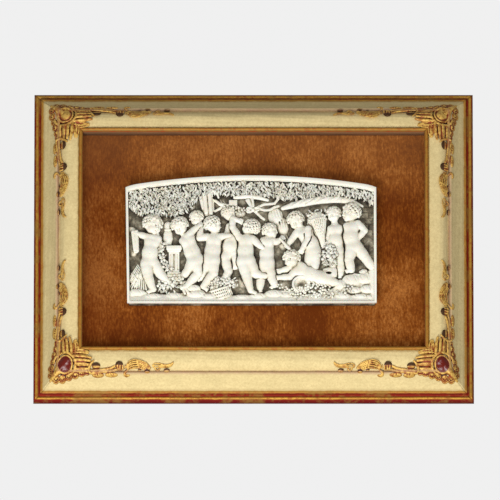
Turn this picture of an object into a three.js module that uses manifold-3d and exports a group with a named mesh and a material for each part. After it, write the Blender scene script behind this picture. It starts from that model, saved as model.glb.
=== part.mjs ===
// Carved ivory plaque on velvet in a cream and gilt frame, millimetres, +Z up.
// It hangs on a wall: the wall is the plane y = 0, the viewer is at -Y, and the origin is
// the hanging point in the middle of the top rail's back.

import * as THREE from 'three';
import { mergeVertices } from 'three/addons/utils/BufferGeometryUtils.js';
import Module from 'manifold-3d';

const wasm = await Module();
wasm.setup();

// Frame
const FRAME_WIDTH = 376;
const FRAME_HEIGHT = 278;
const RAIL_WIDTH = 42;
const HANG_INSET = 18;
const EDGE_DEPTH = 7;
const RABBET_WIDTH = 8;
const GAP = 0.3;
const MITRE_GAP = GAP / Math.SQRT2;

// Velvet and its board
const VELVET_FRONT = 21.5;
const VELVET_THICKNESS = 1.5;
const BOARD_THICKNESS = 4;
const RABBET_CLEARANCE = 1;

// Plaque
const SLAB = 9.5;
const FLOOR = 2;
const HALF_WIDTH = 107;
const SIDE_HEIGHT = 105.8;
const CROWN = 9.5;
const LEFT_LEAN = 1.8;
const BACK_TAPER = 2;
const RIM = { side: 2.4, foot: 1.4, top: 3.6 };
const NO_RIM = { side: 0, foot: 0, top: 0 };
const RIM_LAP = 0.4;
const CARVING_PROUD = 2;
const PLAQUE_SHIFT = -2;

const FRAME_TOP = HANG_INSET;
const FRAME_BOTTOM = FRAME_TOP - FRAME_HEIGHT;
const CENTRE_Z = (FRAME_TOP + FRAME_BOTTOM) / 2;
const PLAQUE_BASE = CENTRE_Z - (SIDE_HEIGHT + CROWN) / 2;

const CREAM = { color: 0xe8d6a4, roughness: 0.6, metalness: 0 };
const GILT = { color: 0xb98f45, roughness: 0.4, metalness: 0.7 };
const VELVET = { color: 0x7a3f18, roughness: 0.95, metalness: 0 };
const BOARD = { color: 0x8a6a48, roughness: 0.8, metalness: 0 };
const IVORY = { color: 0xf6f0e2, roughness: 0.45, metalness: 0 };

const group = new THREE.Group();

// Solids and meshes
function solid(geometry) {
  const bare = geometry.index ? geometry.clone() : geometry;
  bare.deleteAttribute('normal');
  bare.deleteAttribute('uv');
  const merged = mergeVertices(bare, 1e-4);
  const corners = new Uint32Array(merged.index.array);
  const places = new Float32Array(merged.attributes.position.array);
  return new wasm.Manifold(new wasm.Mesh({
    numProp: 3,
    vertProperties: places,
    triVerts: corners,
  }));
}

function geometryOf(body) {
  const mesh = body.getMesh();
  const geometry = new THREE.BufferGeometry();
  const places = new Float32Array(mesh.vertProperties);
  geometry.setAttribute('position', new THREE.BufferAttribute(places, 3));
  geometry.setIndex(Array.from(mesh.triVerts));
  geometry.computeVertexNormals();
  return geometry;
}

function addMesh(name, geometry, finish, parent = group) {
  const mesh = new THREE.Mesh(geometry, new THREE.MeshStandardMaterial(finish));
  mesh.name = name;
  parent.add(mesh);
  return mesh;
}

function join(bodies) {
  return bodies.reduce((whole, body) => whole.add(body));
}

// Moulding: w runs in from the outer edge, the second number is the depth in front of the wall.
// From the low outer edge the face climbs over a bead, a groove and a fillet, up a long slope to
// a ridge, over a cushioned panel, and ends in a bead at the sight edge.
const RIDGE_FRONT = EDGE_DEPTH + 19.3;
const CUSHION_FRONT = EDGE_DEPTH + 24.8;
const SIGHT_FRONT = EDGE_DEPTH + 26.5;
const RABBET_DEPTH = VELVET_FRONT + GAP;
const LIP_START = RAIL_WIDTH - RABBET_WIDTH;

function mouldingFace() {
  const face = new THREE.Path();
  face.moveTo(0, EDGE_DEPTH);
  face.quadraticCurveTo(2.2, EDGE_DEPTH + 4.6, 3.8, EDGE_DEPTH + 2.3);
  face.lineTo(5.4, EDGE_DEPTH + 3.1);
  face.lineTo(6.1, EDGE_DEPTH + 5.5);
  face.lineTo(8.0, EDGE_DEPTH + 5.9);
  face.quadraticCurveTo(13.2, EDGE_DEPTH + 10.8, 18.6, RIDGE_FRONT - 0.4);
  face.lineTo(19.2, RIDGE_FRONT);
  face.lineTo(20.8, RIDGE_FRONT);
  face.lineTo(21.4, RIDGE_FRONT - 0.8);
  face.lineTo(22.4, RIDGE_FRONT - 0.4);
  face.bezierCurveTo(25, CUSHION_FRONT - 0.6, 31, CUSHION_FRONT + 0.7, 37.3, CUSHION_FRONT - 0.5);
  face.lineTo(38.0, CUSHION_FRONT - 0.9);
  face.quadraticCurveTo(39.6, SIGHT_FRONT + 1.6, RAIL_WIDTH - 0.6, SIGHT_FRONT - 1.6);
  return face.getPoints(3);
}

const FACE_POINTS = mouldingFace();

function railFront(w) {
  for (let i = 1; i < FACE_POINTS.length; i += 1) {
    const a = FACE_POINTS[i - 1];
    const b = FACE_POINTS[i];
    if (w <= b.x) {
      return a.y + ((b.y - a.y) * Math.max(w - a.x, 0)) / (b.x - a.x);
    }
  }
  return SIGHT_FRONT - 1.6;
}

function mouldingSection() {
  const section = new THREE.Shape();
  section.moveTo(1, 0);
  section.lineTo(0, 1);
  FACE_POINTS.forEach((p) => section.lineTo(p.x, p.y));
  section.lineTo(RAIL_WIDTH, SIGHT_FRONT - 3);
  section.lineTo(RAIL_WIDTH, RABBET_DEPTH);
  section.lineTo(LIP_START, RABBET_DEPTH);
  section.lineTo(LIP_START, 0);
  section.closePath();
  return section;
}

// A rail lies along +X with its outer edge at z = 0 and its sight edge above it; both ends are
// mitred, so the sight side is shorter by the rail's width at each end.
function mitred(section, length, endGap) {
  const rail = new THREE.ExtrudeGeometry(section, { depth: length, bevelEnabled: false });
  const p = rail.attributes.position;
  for (let i = 0; i < p.count; i += 1) {
    const w = p.getX(i);
    const near = p.getZ(i) < length / 2;
    const along = near ? w + endGap : length - w - endGap;
    p.setXYZ(i, along - length / 2, -p.getY(i), w);
  }
  rail.computeVertexNormals();
  return rail;
}

const RAILS = [
  { name: 'rail_bottom', length: FRAME_WIDTH, turn: 0 },
  { name: 'rail_top', length: FRAME_WIDTH, turn: Math.PI },
  { name: 'rail_right', length: FRAME_HEIGHT, turn: -Math.PI / 2 },
  { name: 'rail_left', length: FRAME_HEIGHT, turn: Math.PI / 2 },
];

function placeRails() {
  RAILS.forEach(({ name, length, turn }) => {
    const across = length === FRAME_WIDTH ? FRAME_HEIGHT : FRAME_WIDTH;
    const carrier = new THREE.Group();
    carrier.position.set(0, 0, CENTRE_Z);
    carrier.rotation.y = turn;
    const rail = addMesh(name, mitred(mouldingSection(), length, MITRE_GAP), CREAM, carrier);
    rail.position.z = -across / 2;
    group.add(carrier);
  });
}

// Board and velvet lie in the rabbet
function plate(thickness, front, inset) {
  const opening = LIP_START + inset;
  const geometry = new THREE.BoxGeometry(
    FRAME_WIDTH - 2 * opening,
    thickness,
    FRAME_HEIGHT - 2 * opening,
  );
  geometry.translate(0, -front + thickness / 2, CENTRE_Z);
  return geometry;
}

function placeMount() {
  const boardFront = VELVET_FRONT - VELVET_THICKNESS - GAP;
  addMesh('velvet_cover', plate(VELVET_THICKNESS, VELVET_FRONT, RABBET_CLEARANCE), VELVET);
  addMesh('mount_board', plate(BOARD_THICKNESS, boardFront, RABBET_CLEARANCE), BOARD);
}

// Rounded forms: the flat place is (x, z), the depth is measured towards the viewer
function ellipsoid(x, z, depth, rx, rz, rd, turn = 0, sides = 8, rings = 4) {
  const ball = new THREE.SphereGeometry(1, sides, rings);
  ball.scale(rx, rd, rz);
  ball.rotateY(-turn);
  ball.translate(x, -depth, z);
  return solid(ball);
}

// A rounded tube of changing radius along a route of [x, z] or [x, z, extra depth] points
function strand(route, radii, depth, flat = 0.8, sides = 6) {
  const last = route.length - 1;
  const cap = 0.7;
  const profile = [
    new THREE.Vector2(0, -1),
    ...radii.map((r, i) => new THREE.Vector2(r, i)),
    new THREE.Vector2(0, last + 1),
  ];
  const body = new THREE.LatheGeometry(profile, sides);
  const p = body.attributes.position;
  for (let i = 0; i < p.count; i += 1) {
    const station = Math.round(p.getY(i));
    const at = Math.min(Math.max(station, 0), last);
    const before = route[Math.max(at - 1, 0)];
    const after = route[Math.min(at + 1, last)];
    const span = Math.hypot(after[0] - before[0], after[1] - before[1]);
    const dirX = (after[0] - before[0]) / span;
    const dirZ = (after[1] - before[1]) / span;
    const beyond = (station - at) * cap * radii[at];
    const [x, z, extra = 0] = route[at];
    const side = p.getX(i);
    p.setXYZ(
      i,
      x + dirX * beyond + dirZ * side,
      -(depth + extra + flat * p.getZ(i)),
      z + dirZ * beyond - dirX * side,
    );
  }
  return solid(body);
}

// Corner ornament, drawn for the lower left corner: s runs in along the arm from the frame's
// outer corner and t is the distance in from the outer edge. Both arms are alike, mirrored in the
// corner's diagonal.
const ORNAMENT_RISE = 3;
const CABOCHON = { at: 27.6, wide: 6.2, tall: 8.2 };

const ARM_BLOBS = [
  { s: 42.6, t: 30, rs: 9, rt: 7 },
  { s: 53.6, t: 27, rs: 5, rt: 4.6 },
  { s: 72.6, t: 27, rs: 4.2, rt: 4.6 },
];

// Stations of the leafy stem: along the arm, across it, and the leaf's half width there
const STEM = [
  [20, 17.6, 5.4], [34, 20.6, 5.6], [60, 22.4, 4], [77, 23.6, 2.6],
  [88, 28.4, 5], [99.5, 23.8, 2.8], [107, 26, 4.4], [119.2, 29.6, 1.6],
];

function cornerFront(x, z) {
  return railFront(Math.min(x, z));
}

function ornamentArm(swap) {
  const place = (s, t) => (swap ? [t, s] : [s, t]);
  const bodies = ARM_BLOBS.map(({ s, t, rs, rt }) => {
    const [x, z] = place(s, t);
    const [rx, rz] = place(rs, rt);
    return ellipsoid(x, z, cornerFront(x, z) + 0.6, rx, rz, ORNAMENT_RISE, 0, 6, 3);
  });
  const route = STEM.map(([s, t]) => [...place(s, t), cornerFront(s, t)]);
  bodies.push(strand(route, STEM.map((station) => station[2]), 2, 0.7, 5));
  return bodies;
}

// A domed stone in a raised ring, turned as one profile and made oval
function cabochon() {
  const profile = [[0, -4], [1.4, -4], [1.2, 3.6], [1.02, 1.6], [0.85, 2.2], [0, 3]];
  const oval = new THREE.LatheGeometry(profile.map(([r, y]) => new THREE.Vector2(r, y)), 7);
  oval.rotateX(Math.PI);
  oval.scale(CABOCHON.wide, 1, CABOCHON.tall);
  oval.translate(CABOCHON.at, -railFront(CABOCHON.at), CABOCHON.at + 0.6);
  return solid(oval);
}

// The ornament's back is cut to a plainer copy of the moulding, just clear of the face
const SEAT = [[0, 0.5], [8, 0.4], [18.4, 0.6], [21, 0.9], [27, 0.9], [37.6, 1.3], [RAIL_WIDTH, 2.4]];

function seatSection() {
  const section = new THREE.Shape();
  section.moveTo(0, 0);
  SEAT.forEach(([w, clearance]) => section.lineTo(w, railFront(w) + clearance));
  section.lineTo(RAIL_WIDTH, 0);
  section.closePath();
  return section;
}

function cornerSeat() {
  const reach = 2 * FRAME_HEIGHT;
  const along = mitred(seatSection(), reach, -MITRE_GAP);
  along.translate(reach / 2, 0, 0);
  const up = mitred(seatSection(), reach, -MITRE_GAP);
  up.rotateY(Math.PI / 2);
  up.translate(0, 0, reach / 2);
  return solid(along).add(solid(up));
}

function cornerOrnament() {
  const raised = join([...ornamentArm(false), ...ornamentArm(true), cabochon()]);
  return geometryOf(raised.subtract(cornerSeat()));
}

function mirrored(geometry, flipX, flipZ) {
  const copy = geometry.clone();
  copy.scale(flipX ? -1 : 1, 1, flipZ ? -1 : 1);
  if (flipX !== flipZ) {
    const corners = copy.index.array;
    for (let i = 0; i < corners.length; i += 3) {
      const held = corners[i + 1];
      corners[i + 1] = corners[i + 2];
      corners[i + 2] = held;
    }
  }
  copy.computeVertexNormals();
  return copy;
}

function placeOrnaments() {
  const lowerLeft = cornerOrnament();
  ['bottom', 'top'].forEach((row) => {
    ['left', 'right'].forEach((side) => {
      const right = side === 'right';
      const top = row === 'top';
      const piece = addMesh(`corner_ornament_${row}_${side}`, mirrored(lowerLeft, right, top), GILT);
      piece.position.x = (right ? 1 : -1) * (FRAME_WIDTH / 2);
      piece.position.z = top ? FRAME_TOP : FRAME_BOTTOM;
    });
  });
}

// Plaque: its own frame has x = 0 in the middle, z = 0 at its foot and depth 0 at its back
function plaqueOutline(rim) {
  const left = -HALF_WIDTH + rim.side;
  const right = HALF_WIDTH - rim.side;
  const half = HALF_WIDTH + LEFT_LEAN / 2;
  const middle = -LEFT_LEAN / 2;
  const radius = (half * half + CROWN * CROWN) / (2 * CROWN);
  const centreZ = SIDE_HEIGHT + CROWN - radius;
  const inner = radius - rim.top;
  const start = Math.acos((right - middle) / inner);
  const outline = new THREE.Shape();
  outline.moveTo(left, rim.foot);
  outline.lineTo(right, rim.foot);
  outline.absarc(middle, centreZ, inner, start, Math.PI - start, false);
  outline.closePath();
  return outline;
}

function extruded(outline, from, to, steps = 12) {
  const body = new THREE.ExtrudeGeometry(outline, {
    depth: to - from,
    bevelEnabled: false,
    curveSegments: steps,
  });
  body.translate(0, 0, from);
  body.rotateX(Math.PI / 2);
  return body;
}

function slab() {
  const body = extruded(plaqueOutline(NO_RIM), 0, SLAB);
  const shrink = 1 - BACK_TAPER / HALF_WIDTH;
  const middle = SIDE_HEIGHT / 2;
  const p = body.attributes.position;
  for (let i = 0; i < p.count; i += 1) {
    if (p.getY(i) > -SLAB / 2) {
      p.setX(i, p.getX(i) * shrink);
      p.setZ(i, middle + (p.getZ(i) - middle) * (1 - BACK_TAPER / middle));
    }
  }
  const recess = solid(extruded(plaqueOutline(RIM), FLOOR, SLAB + 1));
  return solid(body).subtract(recess);
}

// Putti: each pose names its joints by their place on the plaque; the body's own sizes are shared
const HEAD = { rx: 8.2, rz: 8.4, rd: 5 };
const TORSO = [3.6, 6.8, 6.9, 7.4];
const ARM = [3.3, 2.7, 2.3, 2.5];
const LEG = [5.4, 4.3, 2.8, 2.2];

const PUTTI = [
  {
    who: 'dancer at the far left',
    head: [-83, 71], neck: [-80, 62], chest: [-85.5, 54], belly: [-86.5, 46], hips: [-87, 39],
    arms: [[[-79.5, 59], [-89, 60.5], [-99, 62.5]]],
    legs: [
      [[-90, 36], [-88, 25.5], [-84, 14.5], [-90, 10]],
      [[-82.5, 36], [-78, 28], [-73.5, 22.5], [-71, 21]],
    ],
    depth: 5.2,
  },
  {
    who: 'stooping dancer',
    head: [-61, 70.5], neck: [-57, 61], chest: [-54, 55.5], belly: [-50.5, 46.5], hips: [-47.5, 39],
    arms: [[[-56, 59], [-50, 66], [-44, 71]]],
    legs: [
      [[-47, 35], [-44, 28], [-54, 17], [-58, 13]],
      [[-51, 35], [-53, 30.5], [-57, 26], [-60, 24]],
    ],
    depth: 5.4,
  },
  {
    who: 'child looking over',
    head: [-46.8, 77.6], size: 0.84, depth: 4,
  },
  {
    who: 'dancer with his back turned',
    head: [-32.6, 71.4], neck: [-31, 62], chest: [-32.6, 56], belly: [-33, 48], hips: [-33.8, 41],
    arms: [[[-39, 60], [-45, 62], [-44, 70]], [[-27, 60], [-20, 60], [-15, 59.5]]],
    legs: [[[-33, 37], [-32, 27], [-41, 17], [-37.5, 12]], [[-38, 37], [-39, 30], [-42, 24]]],
    depth: 5,
  },
  {
    who: 'child behind the middle',
    head: [-19.8, 82], chest: [-19, 60], belly: [-18.6, 53.5], hips: [-19.5, 46],
    arms: [[[-15.5, 53.5], [-15, 44], [-13.5, 33]]],
    legs: [[[-22.5, 41], [-19, 29], [-23, 20], [-25, 17]]],
    size: 0.84, depth: 3.8,
  },
  {
    who: 'tall dancer with a raised arm',
    head: [0, 68.6], neck: [-1, 61], chest: [-4, 56], belly: [-5, 47.5], hips: [-5, 40],
    arms: [[[-11.5, 59.5], [-17.5, 69], [-16, 77.5], [-11, 72]], [[2, 58], [6, 52.5], [10, 53.5]]],
    legs: [[[-7.5, 37], [-3.5, 26], [1, 14.5], [-3, 8.5]], [[-1, 38], [3.5, 27], [11.5, 25.5]]],
    depth: 5.6,
  },
  {
    who: 'piping child',
    head: [16, 65.4], chest: [13.5, 55], belly: [13.5, 45.5], hips: [14, 37],
    arms: [[[17.5, 56], [22, 55.5]]],
    legs: [[[11, 31], [8, 21], [7.5, 11]], [[15, 31], [16, 24], [20, 15], [17, 11]]],
    size: 0.9, depth: 4.4,
  },
  {
    who: 'child lying down',
    head: [35, 40.6], neck: [38.5, 34], chest: [42, 30], belly: [50, 25], hips: [57, 23.4],
    arms: [[[37, 31], [31, 24.5], [22.5, 23.5]], [[38, 36], [31, 44], [27.5, 49]]],
    legs: [[[58, 23], [68, 20], [74, 16]], [[57, 26], [66, 29], [71, 22]]],
    depth: 5,
  },
  {
    who: 'child with the basket',
    head: [38, 75.6], neck: [42, 68], chest: [46, 62], belly: [50, 54], hips: [53, 48],
    arms: [[[39, 65], [36, 59], [32, 54]], [[48, 66], [48.5, 57.5], [42.5, 49]]],
    legs: [[[54, 46], [55, 39], [53.5, 30.5], [50, 27]], [[49, 46], [46, 38], [44, 32]]],
    depth: 5.2,
  },
  {
    who: 'standing child',
    head: [70.5, 81], chest: [72, 66.5], belly: [72, 57.5], hips: [73, 49],
    arms: [[[66.5, 68], [65, 60], [68, 55]]],
    legs: [[[75.5, 45], [76.5, 35], [76.5, 24]]],
    size: 0.9, depth: 4.2,
  },
  {
    who: 'walking child at the right',
    head: [85, 82.4], neck: [86, 74.5], chest: [86, 68], belly: [85.5, 60], hips: [88, 52.5],
    arms: [[[92, 73], [98, 66], [90, 60]]],
    legs: [[[85.5, 49], [83, 39.5], [85.5, 30], [82.5, 27]], [[92, 49], [97.5, 41.5], [102.5, 33]]],
    depth: 5.2,
  },
];

function putto({ head, neck, chest, belly, hips, arms = [], legs = [], size = 1, depth }) {
  const scaled = (radii) => radii.map((r) => r * size);
  const sides = size < 1 ? 4 : 5;
  const skull = scaled([HEAD.rx, HEAD.rz, HEAD.rd]);
  const bodies = [ellipsoid(head[0], head[1], depth + 0.4, ...skull, 0, 8, 4)];
  if (chest) {
    const top = neck || [(head[0] + chest[0]) / 2, (head[1] + chest[1]) / 2];
    bodies.push(strand([top, chest, belly, hips], scaled(TORSO), depth, 0.62, 6));
  }
  arms.forEach((route) => {
    bodies.push(strand(route, scaled(ARM.slice(0, route.length)), depth + 1, 0.85, sides));
  });
  legs.forEach((route) => {
    bodies.push(strand(route, scaled(LEG.slice(0, route.length)), depth + 0.4, 0.85, sides));
  });
  return bodies;
}

// Ground, rocks, trunks, cloth, baskets and fruit around the figures
function ground() {
  const bank = new THREE.Shape();
  bank.moveTo(-HALF_WIDTH, 0);
  bank.lineTo(HALF_WIDTH, 0);
  bank.lineTo(HALF_WIDTH, 30);
  bank.splineThru([
    new THREE.Vector2(95, 26),
    new THREE.Vector2(80, 20),
    new THREE.Vector2(60, 9),
    new THREE.Vector2(20, 8),
    new THREE.Vector2(-40, 7),
    new THREE.Vector2(-70, 9),
    new THREE.Vector2(-HALF_WIDTH, 11),
  ]);
  bank.closePath();
  return solid(extruded(bank, 1, 6.4, 2));
}

function box(x0, x1, z0, z1, depth) {
  const block = new THREE.BoxGeometry(x1 - x0, depth, z1 - z0);
  block.translate((x0 + x1) / 2, -depth / 2, (z0 + z1) / 2);
  return solid(block);
}

function pedestal() {
  return [
    box(-72.5, -60.5, 47, 53, 6.4),
    box(-70.8, -61.8, 24, 48, 5.6),
    box(-72.5, -60.5, 20, 26, 6.2),
    strand([[-71, 54], [-70.5, 71]], [3.2, 5], 3.4),
  ];
}

const ROUND_THINGS = [
  { name: 'rock at the left', at: [-98, 8], r: [8.5, 5], depth: 5 },
  { name: 'boulder', at: [20.5, 80], r: [8, 8], depth: 3.4 },
  { name: 'jug', at: [42.5, 16.5], r: [7.6, 7.4], depth: 6 },
  { name: 'bunch of flowers', at: [67.5, 43.5], r: [7.6, 10], depth: 4.4 },
  { name: 'fallen cloth', at: [-66, 15], r: [10, 6.5], depth: 5.4 },
  { name: 'posy', at: [84, 12], r: [5, 5], depth: 6 },
  { name: 'knot of the bow', at: [1.5, 84.5], r: [3.4, 3], depth: 4.4 },
];

const LONG_THINGS = [
  { name: 'hanging cloth', route: [[-101.5, 66], [-98, 44]], radii: [3.6, 3], depth: 3.6 },
  { name: 'reed basket', route: [[-94, 32], [-101, 17]], radii: [6, 4.4], depth: 4 },
  {
    name: 'garland',
    route: [[-75.5, 53], [-77, 44], [-74, 35], [-65, 29]],
    radii: [2.6, 3.4, 3.6, 3.4],
    depth: 5,
  },
  { name: 'flower basket', route: [[-27, 15], [-24.5, 6]], radii: [9.5, 7.6], depth: 5 },
  { name: 'carried basket', route: [[56, 76], [61.5, 53]], radii: [8.4, 3.6], depth: 4.6 },
  { name: 'pipe', route: [[23.5, 59], [32.5, 50]], radii: [1.4, 1.6], depth: 6 },
  { name: 'folded cloth', route: [[-38.5, 99], [-37, 84]], radii: [6, 6.4], depth: 3.6 },
  { name: 'bough', route: [[-13, 97], [9, 96]], radii: [2.4, 2], depth: 4.6 },
  {
    name: 'upper ribbon',
    route: [[5, 86], [15, 89], [22.5, 93.5], [25, 101]],
    radii: [1.6, 1.6, 1.6, 1.4],
    depth: 2.6,
  },
  {
    name: 'lower ribbon',
    route: [[4, 83.5], [11.5, 83], [17, 87], [23, 88.4]],
    radii: [1.6, 1.6, 1.6, 1.4],
    depth: 2.6,
  },
  {
    name: 'swag',
    route: [[26, 89], [42, 94.5], [86, 95], [93, 90]],
    radii: [2.6, 3.2, 3.2, 2.4],
    depth: 4.4,
  },
  { name: 'fallen garland', route: [[49, 11], [60, 6.5], [73, 11]], radii: [4.6, 4, 4.4], depth: 6.4 },
];

function surroundings() {
  const bodies = [ground(), ...pedestal(), box(88, 106, 62, 93, 3.6)];
  ROUND_THINGS.forEach(({ at, r, depth }) => {
    bodies.push(ellipsoid(at[0], at[1], depth, r[0], r[1], 3.4, 0, 6, 3));
  });
  LONG_THINGS.forEach(({ route, radii, depth }) => {
    bodies.push(strand(route, radii, depth, 0.7, 5));
  });
  return bodies;
}

// Fruit and flowers are small round knobs in loose heaps
const HEAPS = [
  { middle: [56, 81], spread: [7.4, 1.4], count: 4, knob: 3.2, depth: 4.2 },
  { middle: [-24, 17], spread: [8.6, 1.6], count: 4, knob: 3, depth: 4 },
  { middle: [62, 12], spread: [13, 2], count: 4, knob: 3, depth: 5.6 },
  { middle: [-71, 21], spread: [6, 5], count: 3, knob: 3, depth: 5.2 },
];

function heaps() {
  const bodies = [];
  HEAPS.forEach(({ middle, spread, count, knob, depth }) => {
    for (let i = 0; i < count; i += 1) {
      const across = (2 * (i + 0.5)) / count - 1;
      const x = middle[0] + spread[0] * across;
      const z = middle[1] + spread[1] * Math.sin(i * 2.4);
      bodies.push(ellipsoid(x, z, depth, knob, knob, knob * 0.9, 0, 5, 3));
    }
  });
  return bodies;
}

// Canopy: a bank of foliage under the arch, thick at the left, with leaves laid over it in rows
const CANOPY_EDGE = [
  [106, 90], [93, 97], [60, 98], [28, 95], [12, 99], [-12, 99], [-34, 102], [-46, 90],
  [-58, 82], [-78, 84], [-97, 83], [-108, 88],
];
const LEAF_ROWS = 2;
const LEAF_STEP = 19;
const LEAF = { rx: 8, rz: 3.8, rd: 2.6 };

function canopy() {
  const crown = SIDE_HEIGHT + CROWN;
  const bank = new THREE.Shape();
  bank.moveTo(-HALF_WIDTH - 1, crown);
  bank.lineTo(HALF_WIDTH + 1, crown);
  CANOPY_EDGE.forEach(([x, z]) => bank.lineTo(x, z));
  bank.closePath();
  const edge = CANOPY_EDGE.map(([x, z]) => new THREE.Vector2(x, z)).reverse();
  const lowest = (x) => {
    const next = edge.findIndex((p) => p.x >= x);
    const a = edge[Math.max(next - 1, 0)];
    const b = edge[Math.max(next, 1)];
    return a.y + ((b.y - a.y) * (x - a.x)) / (b.x - a.x);
  };
  const bodies = [solid(extruded(bank, 1, 5.6))];
  for (let row = 0; row < LEAF_ROWS; row += 1) {
    for (let x = -101 + row * 3; x < 103; x += LEAF_STEP) {
      const low = lowest(x) + 1;
      const high = crown - RIM.top - LEAF.rz - CROWN * (x / HALF_WIDTH) ** 2;
      const z = low + ((high - low) * (row + 0.2)) / (LEAF_ROWS - 0.4);
      const turn = 0.9 * Math.sin(x * 0.7 + row * 1.9);
      bodies.push(ellipsoid(x, z, 6.4, LEAF.rx, LEAF.rz, LEAF.rd, turn, 5, 3));
    }
  }
  return bodies;
}

function plaque() {
  const lapped = {
    side: RIM.side - RIM_LAP,
    foot: RIM.foot - RIM_LAP,
    top: RIM.top - RIM_LAP,
  };
  const room = solid(extruded(plaqueOutline(lapped), FLOOR - 0.5, SLAB + CARVING_PROUD));
  const carving = join([
    ...surroundings(),
    ...canopy(),
    ...heaps(),
    ...PUTTI.flatMap((pose) => putto(pose)),
  ]);
  return geometryOf(slab().add(carving.intersect(room)));
}

function placePlaque() {
  const piece = addMesh('ivory_plaque', plaque(), IVORY);
  piece.position.set(PLAQUE_SHIFT, -VELVET_FRONT - GAP, PLAQUE_BASE);
}

placeRails();
placeMount();
placeOrnaments();
placePlaque();

export default group;
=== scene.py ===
import math
import random

import bpy
import numpy as np
import openvdb
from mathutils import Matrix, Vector


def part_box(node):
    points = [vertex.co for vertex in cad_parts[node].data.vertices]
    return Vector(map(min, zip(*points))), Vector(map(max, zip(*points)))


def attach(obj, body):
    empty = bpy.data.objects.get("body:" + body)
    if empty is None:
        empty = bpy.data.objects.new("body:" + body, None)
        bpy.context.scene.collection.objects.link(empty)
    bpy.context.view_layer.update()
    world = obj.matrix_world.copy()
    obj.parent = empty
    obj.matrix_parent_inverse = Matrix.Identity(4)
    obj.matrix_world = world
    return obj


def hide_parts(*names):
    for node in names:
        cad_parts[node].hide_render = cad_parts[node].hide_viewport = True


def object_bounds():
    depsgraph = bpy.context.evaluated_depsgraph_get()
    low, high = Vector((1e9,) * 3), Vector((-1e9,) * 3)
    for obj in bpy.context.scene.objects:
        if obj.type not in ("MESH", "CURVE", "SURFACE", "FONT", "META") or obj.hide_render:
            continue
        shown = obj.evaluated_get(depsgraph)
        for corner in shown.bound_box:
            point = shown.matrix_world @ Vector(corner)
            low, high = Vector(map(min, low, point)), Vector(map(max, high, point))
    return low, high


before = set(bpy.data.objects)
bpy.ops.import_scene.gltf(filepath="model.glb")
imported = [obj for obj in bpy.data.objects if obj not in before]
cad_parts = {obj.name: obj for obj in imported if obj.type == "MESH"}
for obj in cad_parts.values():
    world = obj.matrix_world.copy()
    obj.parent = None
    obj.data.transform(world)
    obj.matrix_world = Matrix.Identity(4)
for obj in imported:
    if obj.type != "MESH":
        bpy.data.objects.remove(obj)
CAD_BOX = [list(corner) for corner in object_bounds()]

MM = 0.001
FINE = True

# Frame, in mm: w runs in from the outer edge, depth runs from the wall towards the viewer
LOW, HIGH = ([value / MM for value in corner] for corner in CAD_BOX)
FRAME_WIDTH = HIGH[0] - LOW[0]
FRAME_HEIGHT = HIGH[2] - LOW[2]
CENTRE_Z = (HIGH[2] + LOW[2]) / 2
RAIL_WIDTH = 42.0
RABBET_WIDTH = 8.0
EDGE_DEPTH = 7.0
RIDGE_FRONT = EDGE_DEPTH + 19.3
CUSHION_FRONT = EDGE_DEPTH + 24.8
SIGHT_FRONT = EDGE_DEPTH + 26.5
RABBET_DEPTH = 21.8
BACK_CHAMFER = 2.0
MITRE_GAP = 0.04

# Plaque, in mm: x from its middle, z from its foot, depth from its back
PLAQUE_LOW, PLAQUE_HIGH = ([value / MM for value in corner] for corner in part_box("ivory_plaque"))
PLAQUE_Z = PLAQUE_LOW[2]
PLAQUE_BACK = -PLAQUE_HIGH[1]
SLAB = 9.5
FLOOR = 2.0
HALF_WIDTH = 107.0
PLAQUE_X = PLAQUE_HIGH[0] - HALF_WIDTH
SIDE_HEIGHT = 105.8
CROWN = 9.5
LEFT_LEAN = 0.7
FOOT_IN = 1.1
BACK_TAPER = 2.6
SIDE_RIM = 2.2
FOOT_RIM = 1.4
TOP_RIM = 3.6
# Carved lumps are cut off at this depth, just behind the sunk floor's face
BURIED = 1.3
# Groove cut where one figure meets the next
FIGURE_GROOVE = 0.32
# The arch is part of one circle, a little off the middle
ARCH_HALF = HALF_WIDTH + LEFT_LEAN / 2
ARCH_MIDDLE = -LEFT_LEAN / 2
ARCH_RADIUS = (ARCH_HALF * ARCH_HALF + CROWN * CROWN) / (2 * CROWN)
ARCH_CENTRE = SIDE_HEIGHT + CROWN - ARCH_RADIUS


# Meshes and pieces
def mesh_piece(name, points, faces, nodes, materials):
    """A finished piece from points in mm, which rides on the root in place of its CAD nodes."""
    mesh = bpy.data.meshes.new(name)
    mesh.from_pydata((np.asarray(points) * MM).tolist(), [], [list(face) for face in faces])
    mesh.validate()
    piece = bpy.data.objects.new(name, mesh)
    bpy.context.collection.objects.link(piece)
    for material in materials:
        mesh.materials.append(material)
    mesh.shade_smooth()
    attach(piece, "root")
    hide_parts(*nodes)
    return piece


def tube_faces(rings, size):
    """Quads between neighbouring rings of points, and a face to close each end."""
    faces = []
    for a in range(0, (rings - 1) * size, size):
        b = a + size
        for i in range(size):
            j = (i + 1) % size
            faces.append((a + i, a + j, b + j, b + i))
    faces.append(tuple(reversed(range(size))))
    faces.append(tuple(range((rings - 1) * size, rings * size)))
    return faces


def keep_values(mesh, name, values):
    """Stores one number for each point of a mesh, for its material to read."""
    store = mesh.attributes.new(name, "FLOAT", "POINT")
    store.data.foreach_set("value", np.asarray(values, np.float32).ravel())


def mesh_places(mesh):
    places = np.empty(len(mesh.vertices) * 3, np.float32)
    mesh.vertices.foreach_get("co", places)
    return places.reshape(-1, 3) / MM


# Clay: forms are blended as signed distances in mm on a grid, negative inside and at most FAR
FAR = 3.0


def soft_min(a, b, soft):
    overlap = np.maximum(soft - np.abs(a - b), 0) / soft
    return np.minimum(a, b) - overlap * overlap * soft / 4


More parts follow.
